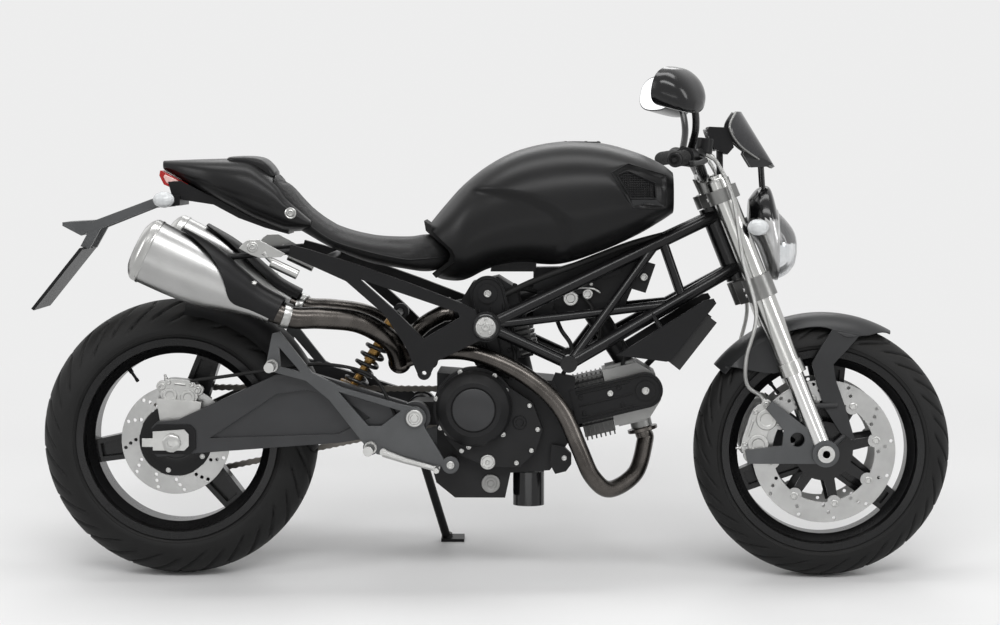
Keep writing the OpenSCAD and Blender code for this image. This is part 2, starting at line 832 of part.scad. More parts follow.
module belt_covers() {
    cap = 5;
    color("#222223") {
        on_cylinder(front_cylinder) {
            plate(-belt_in - belt_t, belt_t) belt_outline(126);
            plate(-belt_in - belt_t - cap, cap + 1) translate([cam_at, 0]) circle(r = 22);
        }
        on_cylinder(rear_cylinder) {
            plate(-belt_in - belt_t, belt_t) belt_outline(136);
            plate(-belt_in - belt_t - cap, cap + 1) translate([cam_at, 0]) circle(r = 22);
        }
    }
}

module oil_filter() {
    color("#0d0d0e") rod([790, -52, 240 - seat_gap], [790, -52, 164], 70);
}

module airbox() {
    color("#1c1c1d") {
        plate(-33, 66) polygon([
            [800, 588], [1000, 596], [1038, 690], [1038, 752], [1010, 751], [940, 720], [862, 697],
                [800, 696]
        ]);
        rod([930, 0, 600], [1008, 0, 484], 46);
        rod([806, 0, 640], [768, 0, 630], 46);
    }
}

module shroud_outline() {
    polygon([[986, 506], [1096, 492], [1106, 494], [1206, 622], [1200, 632], [1180, 628]]);
}

module cooler_shrouds() {
    color("#1b1b1c") both_sides() {
        plate(108, 14) shroud_outline();
        rod([1094, 112, 552], [1062, 74, 600], 10);
    }
}

module oil_cooler() {
    rows = 11;
    low = [1090, 500];
    high = [1172, 606];
    step = (high - low) / rows;
    color("#2a2a2b") {
        for (k = [0 : rows - 1]) plate(-100, 200) at_xz(low + (k + 0.3) * step) rotate(-38) square([44,
            5.5]);
        both_sides() plate(100 - eps, 8 - seat_gap) polygon([low, low + [36, -28], high + [36, -28], high]);
    }
}

// Exhaust

pipe_r = 19;
port_front = [crank_x + (barrel_to + 58) * cos(front_cylinder) + 86 * sin(front_cylinder), 0,
              crank_z + (barrel_to + 58) * sin(front_cylinder) - 86 * cos(front_cylinder)];
port_rear = [crank_x + (barrel_to + 58) * cos(rear_cylinder) - 86 * sin(rear_cylinder), 0,
             crank_z + (barrel_to + 58) * sin(rear_cylinder) + 86 * cos(rear_cylinder)];
out_front = [sin(front_cylinder), 0, -cos(front_cylinder)];
out_rear = [-sin(rear_cylinder), 0, cos(rear_cylinder)];

module exhaust_pipes() {
    color("#8a8378") {
        sweep(smooth([
            port_front + 0.5 * out_front, port_front + 16 * out_front, port_front + 32 * out_front,
                [1030, -52, 236], [972, -108, 206], [932, -136, 238],
            [904, -145, 300], [866, -146, 384], [812, -146, 442], [740, -140, 486], [660, -122, 512],
            [590, -92, 512], [540, -60, 500], [500, -34, 484]
        ], 4), pipe_r, 14);
        sweep(smooth([port_rear + 0.5 * out_rear, port_rear + 16 * out_rear, port_rear + 32 * out_rear,
            [548, 8, 562], [512, 16, 520], [500, 16, 484]], 4), pipe_r, 14);
        hull() {
            translate([500, -34, 484]) sphere(r = 26, $fn = 20);
            translate([500, 16, 484]) sphere(r = 26, $fn = 20);
        }
        both_sides() sweep(smooth([
            [500, 46, 488], [482, 88, 536], [416, 124, 578], [334, 158, 590],
                [276, muffler_y - 7, 592], [228, muffler_y, 607]
        ], 4), 24, 14);
    }
}

muffler_y = 186;
muffler_front = [236, muffler_y, 604];
muffler_rear = [-55, muffler_y + 10, 746];

// Rings of a can that swells from the pipe to the tail cap; grow adds to its radius
function can_ring(f, tall, wide, grow = 0, n = 28) =
    let (
        axis = unit(muffler_rear - muffler_front), up = unit(cross([0, 1, 0], axis)),
        c = muffler_front + f * (muffler_rear - muffler_front)
    )
    [for (q = oval(n, wide + grow, tall + grow, tall + grow, 2.3)) c + [0, -q[0], 0] + q[1] * up];

module muffler() {
    loft([
        can_ring(0.02, 27, 27), can_ring(0.14, 31, 30), can_ring(0.3, 44, 40), can_ring(0.48, 60, 50),
        can_ring(0.68, 69, 57), can_ring(0.96, 72, 60), can_ring(1, 69, 57)
    ]);
}

module mufflers() {
    color("#a9a9aa") both_sides() muffler();
}

// Strip of shell over the can's outer and upper side, between two angles round it
function guard_ring(f, tall, wide, from, to, n = 12) =
    let (c = muffler_front + f * (muffler_rear - muffler_front), up = unit(cross([0, 1, 0],
        muffler_rear - muffler_front)))
    [
        for (grow = [9, 5.5], i = [0 : n])
            let (
                a = grow > 6 ? from + (to - from) * i / n : to - (to - from) * i / n,
                q = oval_at(a, wide + grow, tall + grow, 2.3)
            )
            c + [0, -q[0], 0] + q[1] * up
    ];

module muffler_guards() {
    color("#131314") both_sides() rod([150, muffler_y + 3, 676], [162, muffler_y + 3, 700], 12);
    color("#131314") both_sides() loft([
        guard_ring(-0.02, 30, 30, 20, 222), guard_ring(0.14, 32, 31, 24, 218), guard_ring(0.27, 42, 38,
            34, 212),
        guard_ring(0.35, 49, 43, 39, 182), guard_ring(0.45, 58, 49, 46, 150), guard_ring(0.6, 67, 55,
            57, 126),
        guard_ring(0.8, 71, 59, 72, 102)
    ], shell = true);
}

// Bodywork

// Half-width, crown and floor of the tank at stations along it
tank_stations = [
    // x, half width, height of the widest line, top, floor
    [568, 92, 738, 796, 680],
    [600, 114, 750, 835, 668],
    [645, 138, 772, 884, 668],
    [702, 150, 800, 928, 694],
    [770, 158, 822, 961, 706],
    [860, 166, 838, 979, 704],
    [950, 168, 850, 976, 732],
    [1030, 158, 852, 955, 768],
    [1085, 132, 852, 930, 800],
    [1112, 104, 850, 910, 818]
];

function tank_ring(s, n = 28) =
    let (w = s[1] * tank_w / 168, top = s[3] + tank_top - 980)
    [for (q = oval(n, w, top - s[2], s[2] - s[4], 2.5)) [s[0], q[0], s[2] + q[1]]];

// Notch in the tank's rear edge that takes the nose of the seat
module nose_notch() {
    polygon([[550, 800], [566, 788], [621, 739], [627, 726], [625, 712], [581, 679], [550, 660]]);
}

module fuel_tank() {
    color("#1a1a1b") {
        difference() {
            loft([for (s = tank_stations) tank_ring(s)]);
            plate(-tank_w - 10, 2 * tank_w + 20) nose_notch();
        }
        both_sides() rod([1000, 59, 729], [1000, 59, 780], 20);
    }
}

module intake_outline() {
    polygon([[985, 903], [1004, 916], [1050, 906], [1082, 884], [1082, 846], [1036, 836], [1012, 846]]);
}

module intake_grilles() {
    color("#101011") both_sides() intersection() {
        plate(100, 90) intake_outline();
        difference() {
            loft([for (s = tank_stations) [for (p = tank_ring(s)) [p[0], p[1] * 1.03, p[2]]]]);
            loft([for (s = tank_stations) [for (p = tank_ring(s)) [p[0], p[1] * 1.006, p[2]]]]);
        }
    }
}

// Rings of the seat, with a dished top
seat_stations = [
    // x, half width, height of the widest line, top, floor
    [220, 92, 876, 912, 838],
    [254, 96, 838, 874, 796],
    [298, 101, 800, 826, 768],
    [355, 114, 762, 788, 738],
    [434, 127, 738, 766, 708],
    [513, 130, 722, 762, 694],
    [552, 122, 722, 767, 688],
    [580, 104, 724, 766, 690],
    [604, 84, 726, 747, 703],
    [620, 60, 726, 734, 717]
];

module seat() {
    color("#1b1b1c") {
        both_sides() rod([345, 60, 728], [345, 60, 764], 18);
        loft([
        for (s = seat_stations)
            [for (q = oval(24, s[1] * seat_w / 130, s[3] - s[2], s[2] - s[4], 3.2)) [s[0], q[0],
                s[2] + q[1]]]
        ]);
    }
}

cowl_stations = [
    [-34, 26, 926, 936, 916],
    [10, 62, 914, 938, 892],
    [70, 92, 896, 940, 862],
    [130, 110, 878, 941, 838],
    [190, 114, 866, 938, 820],
    [219.7, 111, 866, 921, 822]
];

wing_in = 106;
wing_t = 5;

module tail_cowl() {
    color("#1a1a1b") {
        loft([
            for (s = cowl_stations)
                [for (q = oval(24, s[1], s[3] - s[2], s[2] - s[4], 2.6)) [s[0], q[0], s[2] + q[1]]]
        ]);
        both_sides() plate(wing_in, wing_t)
            polygon([[204, 896], [241, 876], [274, 846], [306, 808], [280, 790], [245, 781], [204, 800]]);
    }
}

module undertray() {
    color("#121213") {
        plate(-60, 120) polygon([
            [-18, 889], [10, 891.4], [70, 861.4], [130, 837.4], [190, 819.4], [252, 790],
            [252, 772], [200, 786], [140, 808], [84, 838], [-8, 852]
        ]);
        plate(-72, 144) translate([-30, 836]) square([40, 22]);
    }
}

module tail_light() {
    color("#b01818") plate(-58, 116) polygon([[-35, 915.3], [6, 893], [2, 892], [-18, 889.6],
        [-32, 892], [-38, 904]]);
}

module plate_holder() {
    color("#3a3a3b") {
        both_sides() plate(40, 12) polygon([[-2, 834], [-30, 836], [-52, 852], [-186, 802],
            [-218, 744], [-198, 738], [-172, 784], [-56, 830]]);
        plate(-52, 104) polygon([[-258, 798], [-258, 790], [-216, 768], [-186, 784], [-190, 802]]);
        plate(-95, 190) polygon([[-212, 742], [-206, 738], [plate_tip_x + 6, 602], [plate_tip_x, 606]]);
        both_sides() cross_bar([-18, 850], 72 + seat_gap, 100, 9);
    }
}

module rear_indicators() {
    color("#d8d8d8") both_sides() translate([-18, 118, 850]) scale(0.9) sphere(r = 20);
}

// Feet

hanger_in = hanger_out - hanger_t;
hanger_low = [619, 266];
rider_peg = [443, 305];
pillion_peg = [226, 486];

module hanger_outline() {
    difference() {
        union() {
            translate([pivot_x, pivot_z]) circle(r = 25);
            at_xz(hanger_low) circle(r = 19);
            at_xz(pillion_peg) circle(r = 15);
            at_xz(rider_peg) circle(r = 17);
            polygon([
                [552, 392], [519, 398], [381, 437], [314, 470], [243, 560], [226, 556], [212, 486],
                    [232, 470], [300, 452],
                [352, 409], [428, 312], [456, 290], [600, 262], [604, 280], [562, 350]
            ]);
        }
        polygon([[372, 428], [510, 386], [466, 352], [438, 352]]);
        polygon([[240, 528], [288, 472], [244, 482]]);
    }
}

module footrest_brackets() {
    color("#444546") both_sides() {
        plate(hanger_in, hanger_t) hanger_outline();
        cross_bar([pivot_x, pivot_z], arm_out + seat_gap, hanger_in + 1, 20);
        cross_bar([pivot_x, pivot_z], hanger_out - 1, hanger_out + 6, 22);
    }
}

// Peg with its ribs, from the bracket outwards
module peg(p, length) {
    cross_bar(p, hanger_out + seat_gap, hanger_out + 14, peg_r + 3);
    cross_bar(p, hanger_out + 12, hanger_out + length, peg_r);
}

module foot_controls() {
    color("silver") {
        both_sides() peg(rider_peg, 84);
        both_sides() peg(pillion_peg, 70);
        both_sides() cross_bar([472, 296], hanger_out + seat_gap, hanger_out + 18, 8);
        // brake pedal on the right
        mirror([0, 1, 0]) {
            sweep([[472, hanger_out + 12, 294], [520, hanger_out + 16, 278],
                [580, hanger_out + 18, 262], [596, hanger_out + 18, 258]], [9, 7, 6, 8], 10);
            cross_bar([590, 260], hanger_out + 10, hanger_out + 58, 6);
        }
        // gear lever on the left
        sweep([[472, hanger_out + 12, 298], [520, hanger_out + 14, 306], [590, hanger_out + 16, 314]],
            [8, 6, 6], 10);
        cross_bar([588, 314], hanger_out + 8, hanger_out + 56, 7);
    }
}

// Fork and steering

module fork_tubes() {
    color("#c9c9c6") both_sides() {
        rod(leg_point(fork_outer_foot, 0, fork_y), leg_point(fork_len, 0, fork_y), fork_outer_d);
        rod(leg_point(fork_outer_foot - 8, 0, fork_y), leg_point(fork_outer_foot + 22, 0, fork_y),
            fork_outer_d + 7);
        rod(leg_point(fork_len - 1, 0, fork_y), leg_point(fork_len + 10, 0, fork_y), fork_outer_d - 14);
    }
}

module fork_stanchions() {
    x = wheelbase;
    z = front_axle_z;
    color("#b5b5b3") both_sides() difference() {
        union() {
            rod(leg_point(16, 0, fork_y), leg_point(fork_outer_foot - 8 - seat_gap, 0, fork_y),
                stanchion_d);
            cross_bar([x, z], fork_y - fork_foot, fork_y + fork_foot, 30);
            // lugs that carry the caliper
            plate(front_disc_y + 29, 13) difference() {
                polygon([
                    [x - 8, z + 30], [x - 118, z + 116], [x - 132, z + 98], [x - 92, z + 50],
                    [x - 96, z + 16], [x - 178, z + 6], [x - 172, z - 24], [x - 12, z - 24]
                ]);
                at_xz([x - 62, z + 30]) circle(r = 16);
            }
        }
        cross_bar([x, z], 0, 300, axle_r + seat_gap);
    }
}

module front_axle() {
    end = fork_y + fork_foot + seat_gap;
    color("silver") difference() {
        union() {
            cross_bar([wheelbase, front_axle_z], -end - 12, end + 12, axle_r);
            both_sides() {
                cross_bar([wheelbase, front_axle_z], end, end + 10, 19);
                cross_bar([wheelbase, front_axle_z], front_disc_y - disc_t / 2,
                    fork_y - fork_foot - seat_gap, 18);
            }
        }
        cross_bar([wheelbase, front_axle_z], -400, 400, axle_r - 4);
    }
}

module front_calipers() {
    color("lightgray") both_sides() translate(front_axle + [0, -front_disc_y, 0]) rotate([90, 0, 0])
        rotate([0, 0, front_caliper_angle]) caliper(132, front_disc_r, 62, caliper_gap, 21, 13, 24);
}

// Clamp across both legs, in the plane square to the steering axis
module clamp_outline(ring_r) {
    difference() {
        union() {
            for (s = [-1, 1]) translate([0, s * fork_y]) circle(r = ring_r);
            translate([-fork_offset, 0]) circle(r = head_tube_r + 2);
            polygon([
                [-fork_offset - 20, -46], [-16, -fork_y], [14, -fork_y], [-fork_offset + 46, -40],
                [-fork_offset + 46, 40], [14, fork_y], [-16, fork_y], [-fork_offset - 20, 46]
            ]);
        }
        for (s = [-1, 1]) translate([0, s * fork_y]) circle(r = fork_outer_d / 2 + seat_gap);
    }
}

// Frame of a plane square to the legs at a distance t from the axle
module on_leg(t) {
    translate(leg_point(t)) rotate([0, -rake, 0]) children();
}

module triple_clamps() {
    color("#b9b7b2") {
        on_leg(lower_clamp_at) linear_extrude(lower_clamp_t,
            center = true) clamp_outline(fork_outer_d / 2 + 7);
        on_leg(upper_clamp_at) linear_extrude(upper_clamp_t,
            center = true) clamp_outline(fork_outer_d / 2 + 9);
        rod(leg_point(lower_clamp_at, -fork_offset), leg_point(upper_clamp_at, -fork_offset), 2 * stem_r);
        both_sides() difference() {
            rod(leg_point(upper_clamp_at + upper_clamp_t / 2 - 1, -fork_offset + 4, riser_y),
                bar_clamp + [0, riser_y, 0], 34);
            translate(bar_clamp) rotate([90, 0, 0]) cylinder(r = bar_r + 1.4, h = 300, center = true);
        }
    }
}

bar_r = 11;
riser_y = 50;
bar_rise = 18;
bar_clamp = leg_point(fork_len + bar_rise, -fork_offset + 2);

bar_path = [
    bar_clamp + [-74, -bar_half, 40], bar_clamp + [-62, -bar_half + 60, 42], bar_clamp + [-42,
        -bar_half + 160, 46],
    bar_clamp + [-18, -160, 42], bar_clamp + [0, -96, 8], bar_clamp + [0, -70, 0]
];

function mirrored(p) = [for (i = [len(p) - 1 : -1 : 0]) [p[i][0], -p[i][1], p[i][2]]];

module handlebar() {
    color("#1f1f20") sweep(concat(smooth(bar_path, 3), mirrored(smooth(bar_path, 3))), bar_r, 12, [1,
        0, 0]);
}

grip_len = 124;

module grips() {
    a = bar_path[0];
    b = bar_path[2];
    color("#161616") both_sides() difference() {
        union() {
            rod(a + 8 * unit(b - a), a + grip_len * unit(b - a), 33);
            rod(a - 4 * unit(b - a), a + 10 * unit(b - a), 30);
        }
        rod(a - 2 * unit(b - a), a + 200 * unit(b - a), 2 * bar_r + 1.8);
    }
}

// Master cylinder, switch box and lever of one hand
module hand_controls() {
    inner = bar_path[2];
    along = unit(bar_path[3] - bar_path[2]);
    color("#202021") both_sides() {
        difference() {
            union() {
                rod(inner - 12 * along, inner + 34 * along, 42);
                rod(inner + 34 * along, inner + 62 * along, 34);
                rod(inner + [28, 30, -4], inner + [36, 70, 14], 26);
                rod(inner + [40, 64, 8], inner + [44, 66, 40], 38);
                rod(inner + [10, 44, 0], inner + [30, 44, 0], 20);
            }
            sweep(smooth(bar_path, 3), bar_r + 0.6, 12, [1, 0, 0]);
        }
        sweep(smooth([inner + [30, 22, -4], inner + [40, -8, -8], inner + [26, -70, -12], inner + [4,
            -150, -14]], 3), [for (i = [0 : 9]) 7 - 0.25 * i], 8, [1, 0, 0]);
    }
}

mirror_c = [1104, mirror_out - 82, mirror_z];
mirror_yaw = 30;

module mirror_frame() {
    translate(mirror_c) rotate([0, 0, mirror_yaw]) rotate([0, 12, 0]) children();
}

function mirror_ring(x, f, drop = 0, n = 24) =
    [for (q = oval(n, 78 * f, 44 * f, 42 * f, 2.6)) [x, q[0], q[1] - drop]];

module mirrors() {
    color("#1b1b1c") both_sides() {
        mirror_frame() loft([
            mirror_ring(-16, 1), mirror_ring(8, 1), mirror_ring(34, 0.86, 4), mirror_ring(54, 0.58, 12),
            mirror_ring(62, 0.25, 18)
        ]);
        sweep(smooth([mirror_c + [30, -44, -18], mirror_c + [44, -62, -44],
            [1152, 244, 1004], bar_path[2] + [11, 28 - 2 * bar_path[2][1] - 14, 17]], 3), 8, 10);
    }
}

module mirror_glasses() {
    color("white") both_sides() mirror_frame() loft([mirror_ring(-18.5, 0.93),
        mirror_ring(-16 - seat_gap, 0.94)]);
}

module front_fender() {
    section_r = 226;
    thick = 3;
    color("#3a3a3b") {
        turned(front_axle, 82, 60) intersection() {
            difference() {
                translate([section_r, 0]) circle(r = 82);
                translate([section_r, 0]) circle(r = 82 - thick);
            }
            translate([280, -70]) square([60, 140]);
        }
        // stays from the blade's edges down past the discs, and their fixings on the fork
        both_sides() {
            hull() {
                fender_ball(74, 63, 266);
                fender_ball(20, 63, 279);
                fender_ball(20, 79, 196);
                fender_ball(-6, 79, 196);
            }
            hull() {
                fender_ball(20, 79, 196);
                fender_ball(-6, 79, 196);
                fender_ball(66, 79, 28);
                fender_ball(36, 79, 44);
            }
            rod([wheelbase + 28, 80, front_axle_z + 104], [wheelbase - 26, 92, front_axle_z + 104], 12);
            rod([wheelbase + 44, 80, front_axle_z + 36], [wheelbase + 20, 90, front_axle_z + 16], 12);
        }
    }
}

module fender_ball(x, y, z) {
    translate([wheelbase + x, y, front_axle_z + z]) sphere(r = 4, $fn = 12);
}

// Headlight: a shield that leans back with the fork
headlight_stations = [
    // x, half width, middle height, reach up, reach down
    [1284, 52, 802, 48, 34],
    [1304, 80, 800, 74, 56],
    [1330, 88, 776, 100, 98],
    [1346, 84, 750, 76, 82]
];

lens_stations = [
    [1346, 82, 750, 74, 80],
    [1368, 72, 746, 56, 66],
    [1385, 48, 742, 36, 42],
    [1391, 22, 741, 16, 18]
];

function light_ring(s, n = 24) = [for (q = oval(n, s[1], s[3], s[4], 2.3)) [s[0], q[0], s[2] + q[1]]];

module headlight() {
    color("#7d7d7e") {
        loft([for (s = headlight_stations) light_ring(s)]);
        both_sides() rod([1302, 58, 786], [1270, 84, 786], 16);
        both_sides() rod([1316, 34, 850], [1310, 34, 936], 9);
    }
}

module headlight_lens() {
    color("#e8eef2") translate([seat_gap, 0, 0]) loft([for (s = lens_stations) light_ring(s)]);
}

module front_indicators() {
    color("#e8e8e8") both_sides() {
        translate([1296, 122, 790]) sphere(r = 18);
        rod([1266, 106, 786], [1296, 122, 790], 12);
    }
}

module instruments() {
    color("#161617") {
        both_sides() rod(leg_point(upper_clamp_at + upper_clamp_t / 2 - 2, 4, 26), [1218, 26, 962], 12);
        plate(-66, 132) polygon([[1186, 1004], [1192, 1012], [1236, 1010], [1246, 966], [1232, 950],
            [1204, 962]]);
    }
}

module flyscreen() {
    color("#101012") {
        loft([
            // share of the height, half width, sweep of the cheeks
            for (s = [[0, 46, 56], [0.35, 76, 62], [0.7, 88, 46], [1, 80, 24]])
                let (low = [1340, 921], high = [1264, 1044], c = low + s[0] * (high - low))
                [for (q = oval(16, s[1], 5, 5, 2))
                    [c[0] - s[2] * pow(q[0] / s[1], 2) - q[1] * 0.86, q[0], c[1] - q[1] * 0.5]]
        ]);
    }
}

hose_r = 4.5;

module brake_hoses() {
    color("#2b2b2c") both_sides() sweep(smooth([
        bar_clamp + [-8, 162, 58], bar_clamp + [28, 152, 34], [1240, 152, 850], [1262, 150, 720],
            [1292, 148, 600],
        [1272, 128, 500], [1276, 100, 440], [1306, 84, 414], [1318, 84, 397]
    ], 5), hose_r, 8);
}

// Side stand

stand_pivot = [536, 118, 262];
foot_point = [stand_pivot[0] + foot_ahead, foot_y, foot_y * tan(lean) - lift / cos(lean)];
stand_down = unit(foot_point - stand_pivot);
stand_folded = unit([-0.98, 0.16, -0.08]);
stand_axis = unit(cross(stand_down, stand_folded));
stand_fold = acos(stand_down * stand_folded);
stand_len = norm(foot_point - stand_pivot);

// Frame at the pivot: Z along the bolt, X down the leg
module stand_frame() {
    x = stand_down;
    z = stand_axis;
    y = cross(z, x);
    o = stand_pivot;
    multmatrix([[x[0], y[0], z[0], o[0]], [x[1], y[1], z[1], o[1]], [x[2], y[2], z[2], o[2]],
        [0, 0, 0, 1]]) children();
}

module side_stand() {
    leg_d = 20;
    foot_t = 7;
    color("#1c1c1d") {
        stand_frame() difference() {
            union() {
                translate([0, 0, -7.5]) cylinder(r = 18, h = 23);
                rod([0, 0, 4], [stand_len - 8, 0, 0], leg_d);
            }
            translate([0, 0, -20]) cylinder(r = stand_pin_r + running_gap, h = 60);
        }
        translate(foot_point) rotate([lean, 0, 0]) {
            translate([-14, -20, 0]) cube([54, 40, foot_t]);
            cylinder(d1 = 30, d2 = 22, h = 16);
        }
    }
}

stood() rear_tyre();
stood() rear_wheel();
stood() rear_disc();
stood() rear_sprocket();
stood() front_tyre();
stood() front_wheel();
stood() front_discs();
stood() swingarm();
stood() rear_axle();
stood() rear_caliper();
stood() drive_chain();
stood() rear_shock();
stood() hugger();
stood() trellis_frame();
stood() subframe();
stood() crankcase();
stood() clutch_cover();
stood() alternator_cover();
stood() cylinder_barrels();
stood() cylinder_heads();
stood() belt_covers();
stood() oil_filter();
stood() airbox();
stood() oil_cooler();
stood() cooler_shrouds();
stood() exhaust_pipes();
stood() mufflers();
stood() muffler_guards();
stood() fuel_tank();
stood() intake_grilles();
stood() seat();
stood() tail_cowl();
stood() undertray();
stood() tail_light();
stood() plate_holder();
stood() rear_indicators();
stood() footrest_brackets();
stood() foot_controls();
stood() fork_tubes();
stood() fork_stanchions();
stood() triple_clamps();
stood() front_axle();
stood() front_calipers();
stood() front_fender();
stood() headlight();
stood() headlight_lens();
stood() front_indicators();
stood() instruments();
stood() flyscreen();
stood() handlebar();
stood() grips();
stood() hand_controls();
stood() mirrors();
stood() mirror_glasses();
stood() brake_hoses();
stood() side_stand();
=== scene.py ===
"""Looks of a naked twin-cylinder motorcycle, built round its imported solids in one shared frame."""

from __future__ import annotations

import json
import logging
import math
from dataclasses import dataclass, field
from enum import Enum
from typing import Iterable, Sequence

import bmesh
import bpy
from mathutils import Matrix, Vector

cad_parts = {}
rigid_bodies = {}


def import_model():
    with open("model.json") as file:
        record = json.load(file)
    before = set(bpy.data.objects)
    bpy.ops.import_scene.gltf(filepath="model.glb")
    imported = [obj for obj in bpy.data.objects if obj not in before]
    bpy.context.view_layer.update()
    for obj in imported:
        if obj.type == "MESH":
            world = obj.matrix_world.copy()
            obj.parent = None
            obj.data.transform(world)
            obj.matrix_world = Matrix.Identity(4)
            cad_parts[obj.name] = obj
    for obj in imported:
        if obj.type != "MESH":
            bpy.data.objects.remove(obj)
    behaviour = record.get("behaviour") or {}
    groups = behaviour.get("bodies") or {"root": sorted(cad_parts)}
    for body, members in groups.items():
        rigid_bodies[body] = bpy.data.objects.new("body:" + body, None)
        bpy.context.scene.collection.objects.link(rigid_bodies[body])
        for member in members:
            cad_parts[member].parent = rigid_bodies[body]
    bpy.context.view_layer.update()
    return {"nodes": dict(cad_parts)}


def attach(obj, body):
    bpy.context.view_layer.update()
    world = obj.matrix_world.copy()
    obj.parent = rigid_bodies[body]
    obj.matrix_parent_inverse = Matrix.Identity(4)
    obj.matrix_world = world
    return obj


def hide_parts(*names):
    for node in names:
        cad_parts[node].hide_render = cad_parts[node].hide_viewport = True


LOG = logging.getLogger("motorcycle")
Point = Sequence[float]
Rings = list[list[Vector]]
Table = tuple[tuple[float, ...], ...]


@dataclass(frozen=True)
class Stance:
    """How the upright machine, in millimetres, stands in the shared frame, in metres."""

    lean: float = 10.0
    middle: tuple[float, float] = (708.0, 188.4343)
    lift: float = 1.2154

    def matrix(self) -> Matrix:
        """Returns the move from upright millimetres to the shared frame."""
        turn = Matrix.Rotation(math.radians(-self.lean), 4, "X")
        move = Matrix.Translation((-self.middle[0], -self.middle[1], self.lift))
        return Matrix.Scale(0.001, 4) @ move @ turn


STANCE = Stance().matrix()
REAR_AXLE = Vector((0.0, 0.0, 312.0))
FRONT_AXLE = Vector((1450.0, 0.0, 287.676))
RAKE = math.radians(21.8)
LEG_UP = Vector((-math.sin(RAKE), 0.0, math.cos(RAKE)))
LEG_AHEAD = Vector((math.cos(RAKE), 0.0, math.sin(RAKE)))
BAR_CLAMP = FRONT_AXLE + 670.0 * LEG_UP - 28.0 * LEG_AHEAD
ACROSS = Vector((0.0, 1.0, 0.0))
CRANK = Vector((767.0, 0.0, 357.0))
LEG_Y = 98.0
TIP = 0.01


class Body(Enum):
    """Moving bodies of the machine."""

    CHASSIS = "chassis"
    REAR_WHEEL = "rear_wheel_set"
    STEERING = "steering"
    FRONT_WHEEL = "front_wheel_set"
    STAND = "stand"


class Side(Enum):
    """Sides of the machine, as the sign of Y."""

    RIGHT = -1
    LEFT = 1


def leg_point(along: float, ahead: float = 0.0, y: float = 0.0) -> Vector:
    """Finds a point by the fork leg.

    Args:
        along: Distance up the leg from the front axle.
        ahead: Distance in front of the leg.
        y: Distance to the left of the middle.

    Returns:
        The point in upright millimetres.
    """
    return FRONT_AXLE + along * LEG_UP + ahead * LEG_AHEAD + Vector((0.0, y, 0.0))


def spoke(degrees: float, r: float = 1.0, y: float = 0.0) -> Vector:
    """Points away from an axle at an angle above the way ahead, by a length and to the left."""
    a = math.radians(degrees)
    return Vector((r * math.cos(a), y, r * math.sin(a)))


def smoothed(points: Sequence[Point], steps: int = 4) -> list[Vector]:
    """Runs a smooth curve through points.

    Args:
        points: The points, of any dimension.
        steps: Steps to a span.

    Returns:
        Points along the curve, first and last included.
    """
    p = [Vector(q) for q in points]
    out: list[Vector] = []
    for i in range(len(p) - 1):
        a, b, c, d = p[max(i - 1, 0)], p[i], p[i + 1], p[min(i + 2, len(p) - 1)]
        for j in range(steps):
            t = j / steps
            out.append(
                0.5 * (2 * b + t * (c - a) + t * t * (2 * a - 5 * b + 4 * c - d) + t**3 * (3 * b - a - 3 * c + d))
            )
    return [*out, p[-1]]


def squared(angle: float, power: float) -> tuple[float, float]:
    """Finds the point of a superellipse of radius 1 at an angle in radians."""
    c, s = math.cos(angle), math.sin(angle)
    return math.copysign(abs(c) ** (2 / power), c), math.copysign(abs(s) ** (2 / power), s)


def oval(count: int, wide: float, up: float, down: float, power: float = 2.0) -> list[tuple[float, float]]:
    """Draws a superellipse with its own reach up and down.

    Args:
        count: Number of points.
        wide: Half width.
        up: Reach above the middle.
        down: Reach below the middle.
        power: Two for an ellipse, more for a squarer one.

    Returns:
        Points as pairs of across and up.
    """
    out = []
    for i in range(count):
        across, rise = squared(2 * math.pi * i / count, power)
        out.append((wide * across, (up if rise >= 0 else down) * rise))
    return out


def station_ring(station: Sequence[float], count: int, power: float) -> list[Vector]:
    """Draws a ring across the machine.

    Args:
        station: Place along, half width, middle height, reach up and reach down.
        count: Number of points.
        power: Two for an ellipse, more for a squarer one.

    Returns:
        Points of the ring.
    """
    x, wide, mid, up, down = station
    return [Vector((x, y, mid + z)) for y, z in oval(count, wide, up, down, power)]


def eased(value: float, low: float, high: float) -> float:
    """Rises smoothly from 0 at low to 1 at high."""
    t = min(max((value - low) / (high - low), 0.0), 1.0)
    return t * t * (3 - 2 * t)


def depth_inside(x: float, z: float, outline: Sequence[Point]) -> float:
    """Measures how far a point is inside an outline.

    Args:
        x: Place along the machine.
        z: Height.
        outline: Corners of a closed outline.

    Returns:
        Distance to the nearest edge, negative outside.
    """
    inside, nearest = False, 1e9
    for (ax, az), (bx, bz) in zip(outline, [*outline[1:], outline[0]]):
        if (az > z) != (bz > z) and x < ax + (z - az) / (bz - az) * (bx - ax):
            inside = not inside
        length = (bx - ax) ** 2 + (bz - az) ** 2
        t = min(max(((x - ax) * (bx - ax) + (z - az) * (bz - az)) / length, 0.0), 1.0)
        nearest = min(nearest, math.hypot(x - ax - t * (bx - ax), z - az - t * (bz - az)))
    return nearest if inside else -nearest


